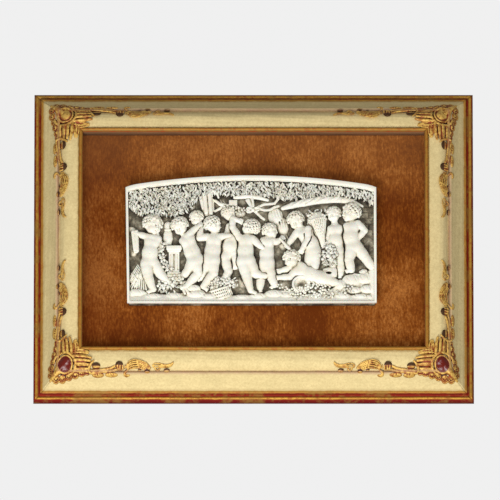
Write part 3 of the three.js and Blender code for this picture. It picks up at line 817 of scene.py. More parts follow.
# The children. Places are (x, z), and turn is the head's yaw, pitch and roll. A lift moves a limb
# forward, and toe is the way a foot points.
PUTTI = [
    # Child looking over
    {
        "group": "left",
        "head": (-46.8, 77.8), "size": 0.84, "depth": 4.2, "turn": (-40, 22, 10),
    },
    # Child behind the middle
    {
        "group": "left",
        "head": (-19.4, 82), "chest": (-19, 60), "belly": (-18.6, 53), "hips": (-19.5, 46),
        "arms": [{"route": [(-14.5, 58), (-14.6, 46), (-14, 36)]}],
        "legs": [{"route": [(-22.5, 42), (-19.5, 30), (-23, 22), (-26, 17)]}],
        "size": 0.84, "depth": 3.8, "turn": (62, 10, 0),
    },
    # Dancer at the far left
    {
        "group": "left",
        "head": (-84.2, 71.2), "neck": (-81.5, 62), "chest": (-84.8, 55), "belly": (-86.5, 46.5),
        "hips": (-87, 39.5), "depth": 5.2, "turn": (38, 14, -6), "head_size": 1.14,
        "arms": [
            {"route": [(-79.5, 58.5), (-89, 60.5), (-97, 63)]},
            {"route": [(-80, 57), (-78, 52), (-79, 48)], "lift": -1, "hand": False},
        ],
        "legs": [
            {"route": [(-82.5, 36), (-78, 28), (-73.5, 22.5), (-70, 19.5)], "lift": -0.6,
             "toe": (4, -3)},
            {"route": [(-90, 36), (-88.2, 25.5), (-85.5, 17.5), (-83.6, 12.8)], "lift": 0.4,
             "toe": (-5, -2.6)},
        ],
    },
    # Stooping dancer
    {
        "group": "left",
        "head": (-61, 70.2), "neck": (-57, 62), "chest": (-54, 56), "belly": (-50.5, 47),
        "hips": (-47.5, 39), "depth": 5.4, "turn": (-30, 38, 16), "view": "back",
        "arms": [{"route": [(-55, 60.5), (-49.6, 66.2), (-45.4, 69.5)]}],
        "legs": [
            {"route": [(-51, 36), (-53.5, 30.5), (-57, 27)], "lift": -0.8, "toe": (-4, -2)},
            {"route": [(-47, 36), (-45.2, 27.5), (-51.5, 20.5), (-55.4, 15.5)], "lift": 0.4,
             "toe": (-5.4, -1.6)},
        ],
    },
    # Dancer with a turned back
    {
        "group": "left",
        "head": (-32.8, 71.4), "neck": (-31.6, 63.5), "chest": (-32, 57), "belly": (-33, 48.5),
        "hips": (-34, 41), "depth": 5.0, "turn": (112, 0, 0), "view": "back",
        "arms": [
            {"route": [(-38, 60.5), (-44.3, 59.5), (-43.2, 66)]},
            {"route": [(-27, 60.5), (-21, 60.8), (-17.5, 61.5)]},
        ],
        "legs": [
            {"route": [(-37.5, 37), (-40, 30), (-43, 24.5)], "lift": -0.6, "toe": (-3, -3)},
            {"route": [(-32.6, 37.5), (-32.4, 27.5), (-37.6, 20.6), (-41, 15.6)], "lift": 0.5,
             "toe": (3.6, -3.4)},
        ],
    },
    # Piping child
    {
        "group": "middle",
        "head": (16, 66), "chest": (13.6, 55.5), "belly": (13.2, 46), "hips": (13.4, 38),
        "size": 0.9, "depth": 4.6, "turn": (76, -6, -8), "view": "back",
        "arms": [{"route": [(18, 57.5), (21.6, 56), (24.6, 58.2)], "lift": 0.4}],
        "legs": [
            {"route": [(10, 32), (8, 22), (7.4, 15.5)], "lift": -0.8, "toe": (0.6, -4.4)},
            {"route": [(15.4, 32), (17.4, 24), (20, 17.6)], "lift": 0.2, "toe": (-3.4, -3.2)},
        ],
    },
    # Tall dancer with a raised arm
    {
        "group": "middle",
        "head": (-0.4, 68.6), "neck": (-2, 61.8), "chest": (-4.4, 56.5), "belly": (-5, 48),
        "hips": (-4.6, 40), "depth": 5.5, "turn": (-128, -12, -14), "view": "back",
        "arms": [
            {"route": [(-10.4, 59.6), (-16, 69), (-16.2, 77), (-12, 75.4)]},
            {"route": [(1.4, 58.4), (5.6, 54), (9.6, 50.6)]},
        ],
        "legs": [
            {"route": [(-1.2, 37.5), (3.4, 27.6), (8.4, 25.4), (13, 25.4)], "lift": 0.2,
             "toe": (3.8, 0.4)},
            {"route": [(-7.4, 37), (-4, 25), (-2, 17.6), (-0.4, 11.6)], "lift": 0.6,
             "toe": (5, -2.8)},
        ],
    },
    # Child lying down
    {
        "group": "middle",
        "head": (34.4, 40.6), "neck": (38.5, 34.2), "chest": (42.6, 30.6), "belly": (50, 26.6),
        "hips": (57, 24.4), "depth": 4.8, "turn": (-24, 12, 8), "head_lift": 0.6,
        "arms": [
            {"route": [(39, 36), (31, 32), (27, 31)], "lift": -0.4},
            {"route": [(39, 31), (33, 24.6), (24.6, 24)], "lift": 0.6},
        ],
        "legs": [
            {"route": [(60, 24.4), (69.4, 27), (70.6, 30.6), (63, 30.6)], "lift": -0.6},
            {"route": [(59, 22.6), (66.4, 20.8), (72.6, 19)], "lift": 0.4, "toe": (4.4, -2)},
        ],
        "hollows": [(66.2, 27.8, 2.5, 1.5)],
    },
    # Standing child
    {
        "group": "right",
        "head": (70.4, 81), "chest": (72, 66.5), "belly": (72.2, 58), "hips": (73.2, 50),
        "size": 0.88, "depth": 4.4, "turn": (-20, 18, 6),
        "arms": [{"route": [(67, 68), (65.4, 60), (67, 53.5)], "lift": 0}],
        "legs": [
            {"route": [(75.8, 46), (76.4, 37), (76.2, 28)], "lift": 0, "toe": (-0.6, -4)},
            {"route": [(70.6, 46), (70, 38), (70.4, 30)], "lift": -1},
        ],
    },
    # Child with the basket
    {
        "group": "right",
        "head": (38.2, 75.4), "neck": (42.6, 68.6), "chest": (46.4, 63), "belly": (50.4, 55),
        "hips": (53, 48.6), "depth": 5.0, "turn": (-22, 34, 14),
        "arms": [
            {"route": [(40.6, 67), (36, 60.6), (32.4, 55.4)], "lift": 0},
            {"route": [(48.6, 67), (48.6, 58), (44, 49.6)], "lift": 2.8},
        ],
        "legs": [
            {"route": [(51, 46), (49.4, 38), (49.6, 31)], "lift": -1},
            {"route": [(54, 46), (54.6, 38), (53.4, 31)], "lift": 0.2, "toe": (-4.4, -1.4)},
        ],
        "creases": [
            [(51.6, 66.4, 8.8), (51.9, 61, 9.2), (50.6, 56.4, 9.4), (47.4, 51, 9.4)],
            [(45.2, 62.6, 8.8), (45.4, 58.4, 9.2), (43, 53.6, 9)],
        ],
    },
    # Walking child at the right
    {
        "group": "right",
        "head": (85.2, 82), "neck": (85.8, 74.8), "chest": (85.8, 68.5), "belly": (85.2, 60.5),
        "hips": (87.6, 52.8), "depth": 5.2, "turn": (-66, 4, 0), "head_size": 1.1,
        "arms": [{"route": [(91.2, 72.6), (96.8, 66.2), (92, 60)], "lift": 0.6}],
        "legs": [
            {"route": [(91.6, 50), (98, 41), (103, 33.4)], "lift": -0.2, "toe": (2.4, -3)},
            {"route": [(85.4, 49.6), (83.4, 39.6), (85.4, 31)], "lift": 0.5, "toe": (-4.6, -2)},
        ],
    },
]


# Plaque outline and the things around the figures
def plaque_outline(side, foot, top, steps):
    """The arched outline, drawn in by the rim's widths, as points of x and z running round it."""
    left, right = -HALF_WIDTH + FOOT_IN + side, HALF_WIDTH - side
    start = math.acos((right - ARCH_MIDDLE) / (ARCH_RADIUS - top))
    finish = math.pi - start
    points = [(left, foot), (right, foot)]
    for i in range(steps + 1):
        angle = start + (finish - start) * i / steps
        spot = (ARCH_RADIUS - top) * np.array((math.cos(angle), math.sin(angle)))
        eased = 1.3 * max(1 - min(i, steps - i) / 3, 0) ** 2
        points.append((ARCH_MIDDLE + spot[0], ARCH_CENTRE + spot[1] - eased))
    return points


def inner_outline(lap=0.0, steps=48):
    """The rim's inner edge, or a line that laps over the rim."""
    return plaque_outline(SIDE_RIM - lap, FOOT_RIM - lap, TOP_RIM - lap, steps)


def crown_height(x):
    """Height of the arch's inner edge over x."""
    return ARCH_CENTRE + np.sqrt((ARCH_RADIUS - TOP_RIM) ** 2 - (x - ARCH_MIDDLE) ** 2)


def chisel(x, z):
    """Low unevenness left by the carver's tools."""
    broad = np.sin(x * 0.31 + 0.6 * np.sin(z * 0.23)) * np.sin(z * 0.37 + 0.8)
    fine = np.sin(x * 1.3 + z * 0.4) * np.sin(z * 1.1 - x * 0.35)
    return 0.35 * broad + 0.12 * fine


# Top of the ground, from the right to the left
GROUND_LINE = [
    (HALF_WIDTH, 33), (101, 30), (95, 27), (88, 28.4), (80, 26), (74, 18), (66, 12.4), (60, 9.4),
    (46, 9.4), (34, 12.6), (22, 12.8), (12, 9.6), (0, 8.2), (-18, 7.4), (-40, 12.6), (-52, 15.2),
    (-60, 10), (-70, 8.6), (-84, 9.8), (-96, 12.6), (-HALF_WIDTH, 12),
]
# Rocks: place, half sizes and the depth of their front
ROCKS = [
    (-98.5, 9.2, 8.6, 4.2, 6.2), (-84, 5.6, 9, 3.6, 6.6), (-66, 6, 8, 4, 6.6),
    (-50.5, 13.6, 7.6, 3.6, 6.6), (-47, 7.6, 9, 4, 6.9), (-36, 5.6, 8, 3.4, 6.9),
    (-8, 5, 9, 3, 6.8), (6, 6, 8, 3.4, 6.9), (19, 8, 8, 4.4, 6.6), (30, 7, 6, 3.4, 6.4),
    (76, 16.6, 5.6, 5, 6.4), (86, 20.6, 8, 5.6, 6.4),
    (97, 22, 7, 5, 6.2), (88, 11.6, 6.6, 3.6, 6.9), (99, 12.4, 6.6, 4.4, 6.8), (93, 5.6, 9, 3.2, 6.9),
    (78, 6, 7.6, 3.4, 6.9), (101, 5, 5.6, 3, 6.9), (96, 28.6, 4.4, 3.2, 4.4), (101.6, 27, 4, 3.6, 4.8),
]


def seams(clay, centre, radii, shares, thick):
    """Shallow slanting grooves that follow the round of a rock."""
    for share in shares:
        route = []
        for k in range(6):
            across, up = share + 0.07 * k, 0.8 - 0.2 * k
            proud = math.sqrt(max(1 - across * across - up * up, 0.02))
            offset = np.array((across, up, proud)) * radii
            route.append(tuple(np.array(centre) + offset))
        clay.strand(route, [thick * g for g in (0.4, 0.9, 1.2, 1.0, 0.8, 0.4)], 1, 0.5, carve=True)


def lay_ground(clay):
    outline = [(HALF_WIDTH, 0)] + GROUND_LINE + [(-HALF_WIDTH, 0)]
    clay.slab(outline, 0.5, 5.6, 0.6, 1.6, chisel)
    clay.rod((-HALF_WIDTH, -1, 3.6), (HALF_WIDTH, -1, 3.6), 9, 9, 0.5, 1.6)
    clay.rod((HALF_WIDTH + 0.5, 0, 3.4), (HALF_WIDTH + 0.5, 30, 3.4), 7, 7, 0.6, 1.6)
    for x, z, rx, rz, front in ROCKS:
        centre, radii = (x, z + 0.6, front - 1.9), (rx, rz, 2.8)
        clay.ball(centre, radii, 0.6)
        seams(clay, centre, radii, (-0.6, 0.2), 0.3)


def urn(clay):
    """A tall jar that stands on the pedestal."""
    profile = [(53.6, 2.4), (56, 3.4), (60, 4.2), (64, 3.9), (67.4, 2.7), (70, 3.1), (72, 3.6)]
    route = [(-71.2, z, 2.4) for z, _ in profile]
    clay.strand(route, [r for _, r in profile], 0.55, 0.7)
    for z in (54.6, 67.6):
        clay.rod((-74, z, 2.6), (-68.6, z, 2.6), 0.6, 0.6, 4, 0.2)


def pedestal(clay):
    clay.block((-72.6, 49.2, 1), (-59.4, 52.8, 6.4))
    clay.block((-71.8, 47.6, 1), (-60.2, 49.6, 5.8))
    clay.block((-70.6, 28, 1), (-61.4, 48.4, 5.2))
    clay.block((-71.8, 26, 1), (-60.2, 29, 5.8))
    clay.block((-72.6, 21, 1), (-59.4, 26.4, 6.2))
    for x in (-69.6, -66, -62.4):
        clay.block((x - 0.75, 31, 4.2), (x + 0.75, 45.6, 6), 0.2, 0.3, carve=True)


BASKET_FLAT = 0.62


def conical_basket(clay, top, foot, wide, narrow, depth, lean):
    """A carrier woven of slanting withies, with a rolled rim at its top."""
    run = unit(top, foot)
    aside = np.array((-run[1], run[0]))
    clay.rod((*top, depth), (*foot, depth), wide, narrow, BASKET_FLAT, 0.4)
    withies = 9
    for i in range(withies):
        share = 2 * (i + 0.5) / withies - 1
        high = np.array(top) + aside * share * wide * 0.96
        low = np.array(foot) + aside * share * narrow * 0.8
        bulge = math.sqrt(1 - share * share)
        front = depth + BASKET_FLAT * wide * bulge * 0.97 + 0.35
        front_low = depth + BASKET_FLAT * narrow * bulge + 0.2
        clay.rod((*high, front + 0.2), (*low, front_low), 0.6, 0.34, 1, 0.06)
    hoop(clay, np.array(top) + run * 0.6, aside, wide, depth, 0.7, lean)


def hoop(clay, middle, aside, radius, depth, thick, sag):
    """A band round the front of a basket, sagging a little in the middle."""
    along = np.array((aside[1], -aside[0]))
    route, steps = [], 8
    for i in range(steps + 1):
        angle = math.pi * i / steps
        spot = middle + aside * radius * math.cos(angle) + along * sag * math.sin(angle)
        route.append((*spot, depth + BASKET_FLAT * radius * math.sin(angle)))
    clay.strand(route, [thick] * (steps + 1), 1, 0.2)


def flower_basket(clay):
    """A low tilted wicker basket: two woven bands between two rims."""
    middle, run = np.array((-25.6, 10.4)), unit((-27.6, 15.4), (-24.4, 5.4))
    aside = np.array((-run[1], run[0]))
    clay.rod((*(middle - run), 3.6), (*(middle + run * 3), 4.2), 9.0, 7.4, 0.42, 0.4)
    for row in range(4):
        centre = middle + run * (row * 2.7 - 4.2)
        hoop(clay, centre, aside, 9.6 - row * 0.6, 2.7, 0.9 if row in (0, 3) else 0.7, 1.6)
    withies = 10
    for i in range(withies):
        share = 2 * (i + 0.5) / withies - 1
        front = 4.4 + 3.6 * math.sqrt(1 - share * share)
        high = middle + aside * share * 9.2 - run * 3.4
        low = middle + aside * share * 7.6 + run * 4.2
        clay.rod((*high, front), (*(low + aside * 1.6), front), 0.62, 0.55, 1, 0.08)


def reed_bundles(clay):
    """Two crossed bundles of long reeds at the far left, with a band round them."""
    for count, low_at, low_run, high_at, high_run in (
        (9, (-104.6, 13.4), (17, 0), (-97.6, 27.4), (6.6, 0)),
        (7, (-104.8, 22.6), (6.6, -7.4), (-96.8, 36.4), (5.4, -4.8)),
    ):
        for i in range(count):
            share = i / (count - 1)
            low = np.array(low_at) + share * np.array(low_run)
            high = np.array(high_at) + share * np.array(high_run)
            proud = 3.4 + 0.9 * (i % 2)
            clay.rod((*low, proud), (*high, proud + 0.3), 0.8, 0.42, 1, 0.08)
    hoop(clay, np.array((-99.4, 24.8)), np.array((0.6, -0.8)), 4.6, 2.9, 0.6, 0.4)


def hanging_cloth(clay, top, foot, width, depth, pleats, taper):
    """Cloth that hangs in rounded pleats, taper being its width at the foot against the top."""
    top, foot = np.array(top, float), np.array(foot, float)
    run = unit(top, foot)
    aside = np.array((-run[1], run[0]))
    clay.rod((*top, depth - 0.6), (*foot, depth - 0.6), width / 2, width / 2 * taper, 0.36, 0.5)
    for i in range(pleats):
        share = 2 * (i + 0.5) / pleats - 1
        a = top + aside * share * width / 2
        b = foot + aside * share * width / 2 * taper + run * 0.8 * math.sin(i * 2.3)
        thick = width / pleats * (0.62 + 0.1 * math.sin(i * 2.7))
        proud = depth + 0.8 + 0.7 * math.sin(i * 1.9 + 0.6)
        clay.rod((*a, proud), (*b, proud + 0.4), thick, thick * 0.8, 1.1, 0.1)


def trunk_cloth(clay):
    """Cloth thrown over a branch, in two broad folds with a dark hollow beside them."""
    clay.rod((-38, 98, 3.4), (-37, 84, 3.4), 5.6, 4.4, 0.4, 0.5)
    for x, z, lean, fall, thick, proud in (
        (-43.4, 97, 2.2, 10, 1.6, 3.8), (-39.9, 99, 1.5, 16, 2.4, 4.6),
        (-35.6, 99.6, 1.1, 17.6, 2.2, 5.2), (-33, 96, 0.4, 11, 1.2, 4.0),
    ):
        clay.rod((x, z, proud), (x + lean, z - fall, proud), thick, thick * 0.85, 1, 0.12)
    fold = [(-35.6, 99.6, 5.4), (-33.2, 102.4, 5.2), (-29.4, 100.4, 4.8), (-28, 96.6, 4.4)]
    clay.strand(fold, [1.7, 1.5, 1.3, 0.9], 1, 0.3)
    clay.ball((-31.2, 97, 5), (1.9, 2.4, 3.4), 0.2, carve=True)


def bow_and_ribbons(clay):
    """A knotted bow above the dancers, its ribbons flying to the right."""
    knot = (1.6, 84.8, 6.6)
    clay.ball(knot, (1.6, 1.4, 1.3), 0.3)
    for side, high in ((-1, 1.6), (-1, -2.6), (1, 1.8)):
        loop, steps = [], 8
        for i in range(steps + 1):
            angle = math.pi * 2 * i / steps
            x = knot[0] + 2.7 * (1 - math.cos(angle)) * side
            z = knot[1] + high * 0.55 * (1 - math.cos(angle)) / 2 + 1.7 * math.sin(angle)
            loop.append((x, z, 6.2 + 0.6 * math.sin(angle / 2)))
        clay.strand(loop, [0.75] * len(loop), 0.9, 0.25)
    upper = [
        (2, 85, 5.6), (6, 87.6, 6), (11, 89.9, 6), (16, 90.4, 5.6), (20, 91, 5.4), (23, 95, 5.4),
        (24.6, 102, 5),
    ]
    lower = [
        (2, 84.6, 5.6), (7, 85.8, 6), (11.6, 84.6, 6), (16, 85, 5.8), (20, 87.6, 5.6),
        (23.4, 88.6, 5.2),
    ]
    tail = [(2.6, 84, 5.6), (5.4, 81.4, 5.8), (8.4, 78.4, 5.6), (11, 76.6, 5.2)]
    for route in (upper, lower, tail):
        clay.strand(route, [1.15] * len(route), 0.75, 0.3)
        ridge = [(x, z, d + 0.95) for x, z, d in route]
        clay.strand(ridge, [0.4] * len(ridge), 1, 0.15, carve=True)


def horn_of_fruit(clay):
    """A round-mouthed basket on its side, its hollow open to the viewer."""
    centre = np.array((42.8, 17.6))
    clay.ball((*centre, 4.6), (8.2, 7.4, 4.0), 0.5)
    clay.ball((centre[0] - 0.6, centre[1] + 0.2, 8.6), (6.0, 5.2, 5.4), 0.2, carve=True)
    ring, steps = [], 16
    for i in range(steps + 1):
        angle = math.pi * (1.32 - 1.25 * i / steps)
        spot = centre + np.array((math.cos(angle) * 7.2, math.sin(angle) * 6.8))
        ring.append((*spot, 7.4))
    clay.strand(ring, [0.95] * len(ring), 1, 0.2)
    clay.strand([(52.6, 20.4, 6.8), (53.6, 17.6, 7.2), (52, 14.6, 7)], [0.9, 0.9, 0.8], 1, 0.2)


def masonry(clay):
    """Coursed stone in the shade at the right."""
    left, right, foot = 89.6, 105.4, 63.2
    course, stone, joint = 5.2, 6.6, 0.2
    for row in range(6):
        z = foot + row * course
        offset = 3.2 if row % 2 else 0
        for column in range(3):
            x = 90.4 + column * stone - offset
            low = (max(x, left), z, 1)
            proud = 2.4 + 0.3 * math.sin(row * 2.1 + column * 1.7)
            high = (min(x + 6.4, right), z + course - joint, proud)
            if high[0] - low[0] > 2:
                clay.block(low, high, 0.4, 0.8)


def swag_cloth(clay):
    """A rolled drape under the leaves, from the boulder to the right corner, with soft cross folds."""
    route = [
        (27, 87, 4.2), (35, 89.4, 4.6), (45, 91.8, 4.8), (58, 94.2, 4.8), (74, 94.8, 4.8),
        (86, 93, 4.4), (95, 89, 3.8),
    ]
    clay.strand(route, [1.8, 2.7, 3.3, 3.3, 2.9, 2.3, 1.2], 0.66, 1.0)
    for i in range(14):
        x = 33 + i * 4.1
        z = np.interp(x, [p[0] for p in route], [p[1] for p in route])
        lean = 2.4 + 0.8 * math.sin(i * 2.1)
        fold = [(x - lean, z - 2.4, 6.2), (x, z, 7.1), (x + lean, z + 2.2, 6.4)]
        clay.strand(fold, [0.3, 0.6, 0.3], 1, 0.6, carve=i % 2 == 0)


def boulders(clay):
    for x, z, rx, rz, front in (
        (20.6, 80, 6.4, 8, 4.8), (27, 71, 5.6, 8.4, 4.0), (-27, 92, 7, 5, 3.2), (-53, 90, 6, 5.4, 3.2),
        (28, 57, 6, 8, 3.8), (-6, 22, 6, 8, 3.2), (-50, 22, 5, 4, 3.4), (-12, 84, 8, 5.6, 4.0),
        (60, 62, 4, 8, 3),
    ):
        centre, radii = (x, z, front - 2.4), (rx, rz, 2.8)
        clay.ball(centre, radii, 1.2)
        seams(clay, centre, radii, (-0.65, -0.2, 0.2, 0.6), 0.5)


def bough(clay):
    """Boughs above the dancers, with a small block and a cloth hung on them."""
    route = [(-14, 96.6, 4.6), (-4, 97.4, 5), (6, 96.6, 5), (14, 94.2, 4.6)]
    clay.strand(route, [1.6, 2.0, 1.9, 1.4], 0.8, 0.6)
    clay.block((-19.2, 88.8, 1), (-11.9, 94.4, 5.8), 0.3, 0.6)
    hanging_cloth(clay, (-1.6, 94.6), (0.6, 88.4), 6.8, 4.4, 4, 0.5)
    clay.strand([(-33, 95.6, 4.4), (-27, 90.6, 4.8), (-19, 89.4, 4.6)], [1.2, 1.5, 1.2], 0.8, 0.5)
    clay.strand([(-31, 84.4, 4), (-24, 88.4, 4.2), (-14, 87.4, 4)], [1.1, 1.5, 1.1], 0.8, 0.5)


FLOOR_CELL = 1.1


def sunk_floor():
    clay = Clay((-HALF_WIDTH, 0, 0), (HALF_WIDTH, SIDE_HEIGHT + CROWN, SLAB), FLOOR_CELL)
    clay.slab(inner_outline(1.2), -0.4, FLOOR, 0.3, 0.3, chisel)
    return clay


def keep_inside(clay):
    """Cuts a lump off where it has run a little way into the rim."""
    _, (x, z, _) = clay.window(clay.first * clay.cell, (clay.first + clay.body.shape) * clay.cell)
    clay.body = np.maximum(clay.body, outline_distance(np.array(inner_outline(0.6)), x, z))


def foreground():
    clay = Clay((-HALF_WIDTH, 0, 1), (HALF_WIDTH, 44, SLAB + 2), CELL)
    lay_ground(clay)
    reed_bundles(clay)
    flower_basket(clay)
    horn_of_fruit(clay)
    hanging_cloth(clay, (-56, 17), (-53, 11), 9, 4.6, 4, 1.2)
    keep_inside(clay)
    return clay


def backdrop():
    clay = Clay((-HALF_WIDTH, 8, 1), (HALF_WIDTH, SIDE_HEIGHT + CROWN, SLAB + 2), CELL)
    boulders(clay)
    masonry(clay)
    swag_cloth(clay)
    bough(clay)
    pedestal(clay)
    urn(clay)
    conical_basket(clay, (56.2, 75.4), (61.6, 53.4), 8.4, 2.4, 4.2, -1.4)
    # Cloth behind the dancer at the far left
    clay.rod((-103, 66, 2.2), (-101, 47, 2.2), 5.2, 3.4, 0.4, 0.4)
    hanging_cloth(clay, (-99.6, 65), (-98.4, 48.4), 5.6, 4.6, 2, 0.8)
    trunk_cloth(clay)
    bow_and_ribbons(clay)
    # The piping child's pipe
    clay.strand([(24.4, 58.8, 6.6), (32.4, 49.6, 6.8)], [1.0, 1.5], 1, 0.2)
    return clay


# Canopy: a bank of foliage under the arch, drilled between its leaves
CANOPY_EDGE = [
    (107, 88), (99, 92.6), (93, 96), (78, 97.4), (60, 97.4), (40, 95.6), (28, 94), (20, 96), (12, 98),
    (-6, 99.4), (-18, 98), (-29, 99.6), (-33, 97), (-45, 95), (-50, 89), (-55, 83.6), (-62, 79.6),
    (-71, 79), (-78, 81), (-88, 81.6), (-96, 81), (-103, 86), (-107, 90),
]
CANOPY_FRONT = 4.6
DRILLED_HOLES = 150


def canopy_low(x):
    """Height of the canopy's lower edge over x."""
    ends = sorted(CANOPY_EDGE)
    return np.interp(x, [p[0] for p in ends], [p[1] for p in ends])


def canopy(rng):
    clay = Clay((-HALF_WIDTH, 74, 1), (HALF_WIDTH, SIDE_HEIGHT + CROWN, SLAB + 1), CELL)
    above = [(HALF_WIDTH, 120), (-HALF_WIDTH, 120)]
    clay.slab(sorted(CANOPY_EDGE) + above, 0.5, CANOPY_FRONT, 0.5, 1.4, chisel)
    for _ in range(DRILLED_HOLES):
        x = rng.uniform(-103, 103)
        z = rng.uniform(canopy_low(x) + 1.5, crown_height(x) - 1.5)
        lean = rng.uniform(-0.6, 0.6)
        high = (x + lean * 1.6, z + rng.uniform(0.8, 2.2), CANOPY_FRONT)
        clay.rod((x, z, CANOPY_FRONT), high, 0.9, 0.7, 2.6, 0.15, carve=True)
    keep_inside(clay)
    return clay


def leaf_blade():
    """One carved leaf, 1 mm long before scaling: a folded blade with a rib, closed all round."""
    rows = [(0.0, 0.05), (0.3, 0.18), (0.68, 0.15), (1.0, 0.02)]
    points, faces = [], []
    for layer in (0, 1):
        for along, half in rows:
            arch = 0.16 * math.sin(along * math.pi)
            for across in (-1, 0, 1):
                rise = arch + (0.02 if across else 0.13) - 0.22 * layer
                points.append((across * half, -rise, -along))
    count = len(rows)
    for i in range(count - 1):
        for j in range(2):
            a = i * 3 + j
            quad = (a, a + 3, a + 4, a + 1)
            faces.append(quad)
            faces.append(tuple(k + count * 3 for k in reversed(quad)))
    left_edge = [i * 3 for i in range(count)]
    right_edge = [i * 3 + 2 for i in reversed(range(count))]
    rim = left_edge + [count * 3 - 2] + right_edge + [1]
    for a, b in zip(rim, rim[1:] + rim[:1]):
        faces.append((b, b + count * 3, a + count * 3, a))
    return points, faces


def turned_form(pole, rings, steps, lobe):
    """A closed form about the depth axis: rings of (radius, rise) between two poles."""
    points, faces = [(0, -pole, 0)], []
    for number, (radius, rise) in enumerate(rings):
        for i in range(steps):
            angle = 2 * math.pi * i / steps
            reach = radius * lobe(number, angle)
            points.append((reach * math.cos(angle), -rise, reach * math.sin(angle)))
    points.append((0, pole, 0))
    last = 1 + (len(rings) - 1) * steps
    for i in range(steps):
        j = (i + 1) % steps
        faces.append((0, 1 + i, 1 + j))
        for a in range(1, last, steps):
            b = a + steps
            faces.append((a + i, b + i, b + j, a + j))
        faces.append((last + j, last + i, len(points) - 1))
    return points, faces


def blossom():
    """An open flower of five round petals about a button, 1 mm across before scaling."""
    rings = [(0.16, 0.26), (0.3, 0.1), (0.5, 0.2), (0.52, 0.02), (0.2, -0.2)]

    def petal(number, angle):
        return 1 if number in (0, 4) else 0.74 + 0.26 * abs(math.cos(angle * 2.5))

    return turned_form(0.2, rings, 20, petal)


def berry():
    """A round fruit, 1 mm across before scaling."""
    polar = [math.pi * k / 4 for k in (1, 2, 3)]
    rings = [(0.5 * math.sin(p), 0.5 * math.cos(p)) for p in polar]
    return turned_form(0.5, rings, 8, lambda number, angle: 1)


# Geometry nodes: strews one small carved thing over a bed, facing the viewer
def strewing_tree():
    tree = bpy.data.node_groups.new("strewing", "GeometryNodeTree")
    kinds = {"Bed": "Geometry", "Thing": "Object", "Seed": "Int", "Finish": "Material"}
    for name in ("Bed", "Thing", "Spacing", "Density", "Smallest", "Largest", "Turn Low", "Turn High",
                 "Tip", "Seed", "Finish"):
        kind = "NodeSocket" + kinds.get(name, "Float")
        tree.interface.new_socket(name, in_out="INPUT", socket_type=kind)
    tree.interface.new_socket("Strewn", in_out="OUTPUT", socket_type="NodeSocketGeometry")
    given = tree.nodes.new("NodeGroupInput").outputs

    def lead(node, **sockets):
        """Leads other nodes' sockets into a node's inputs, named with _ for a space."""
        for name, socket in sockets.items():
            tree.links.new(socket, node.inputs[name.replace("_", " ")])
        return node

    def add(kind, **sockets):
        return lead(tree.nodes.new(kind), **sockets)

    def worked_out(operation, socket, number):
        node = add("ShaderNodeMath")
        node.operation = operation
        tree.links.new(socket, node.inputs[0])
        node.inputs[1].default_value = number
        return node.outputs[0]

    def chance(low, high, offset):
        """A random number for each thing, between the values of two sockets."""
        pick = add("FunctionNodeRandomValue", Seed=worked_out("ADD", given["Seed"], offset))
        pick.data_type = "FLOAT"
        tree.links.new(low, pick.inputs[2])
        tree.links.new(high, pick.inputs[3])
        return pick.outputs[1]

    points = add("GeometryNodeDistributePointsOnFaces", Mesh=given["Bed"])
    points.distribute_method = "POISSON"
    lead(points, Distance_Min=given["Spacing"], Density_Max=given["Density"], Seed=given["Seed"])
    thing = add("GeometryNodeObjectInfo", Object=given["Thing"])
    minus_tip = worked_out("MULTIPLY", given["Tip"], -1)
    turn = add(
        "ShaderNodeCombineXYZ", X=chance(minus_tip, given["Tip"], 1),
        Y=chance(given["Turn Low"], given["Turn High"], 2), Z=chance(minus_tip, given["Tip"], 3),
    )
    placed = add(
        "GeometryNodeInstanceOnPoints", Points=points.outputs["Points"],
        Instance=thing.outputs["Geometry"], Rotation=turn.outputs["Vector"],
        Scale=chance(given["Smallest"], given["Largest"], 4),
    )
    real = add("GeometryNodeRealizeInstances", Geometry=placed.outputs["Instances"])
    coat = add("GeometryNodeSetMaterial", Geometry=real.outputs["Geometry"], Material=given["Finish"])
    add("NodeGroupOutput", Strewn=coat.outputs["Geometry"])
    return tree


def loose_object(name, points, faces, scale=1.0):
    """A plain object in the scene, which is no piece of the part."""
    mesh = bpy.data.meshes.new(name)
    mesh.from_pydata([tuple(c * scale for c in p) for p in points], [], faces)
    mesh.shade_smooth()
    thing = bpy.data.objects.new(name, mesh)
    bpy.context.collection.objects.link(thing)
    return thing


def strew(tree, bed, thing, finish, sizes, turns, tip, seed):
    """Everything strewn over one bed, as a mesh in metres; sizes are spacing, smallest and largest."""
    bed = loose_object("bed", *bed, MM)
    modifier = bed.modifiers.new("strewing", "NODES")
    modifier.node_group = tree
    values = {
        "Thing": thing, "Finish": finish, "Spacing": sizes[0] * MM, "Density": CROWDED,
        "Smallest": sizes[1], "Largest": sizes[2], "Turn Low": turns[0], "Turn High": turns[1],
        "Tip": tip, "Seed": seed,
    }
    for item in tree.interface.items_tree:
        if item.in_out == "INPUT" and item.name in values:
            modifier[item.identifier] = values[item.name]
    bed.update_tag()
    graph = bpy.context.evaluated_depsgraph_get()
    mesh = bpy.data.meshes.new_from_object(bed.evaluated_get(graph))
    bpy.data.objects.remove(bed)
    return mesh


def to_frame(points):
    """Plaque places (x, z, depth) in mm as CAD places (x, y, z) in mm."""
    x, z, d = np.asarray(points, float).T
    return np.stack([x + PLAQUE_X, -(PLAQUE_BACK + d), z + PLAQUE_Z], axis=1)


def to_plaque(places):
    """CAD places in mm as plaque places (x, z, depth)."""
    x, y, z = np.asarray(places, float).T
    return np.stack([x - PLAQUE_X, z - PLAQUE_Z, -y - PLAQUE_BACK], axis=1)


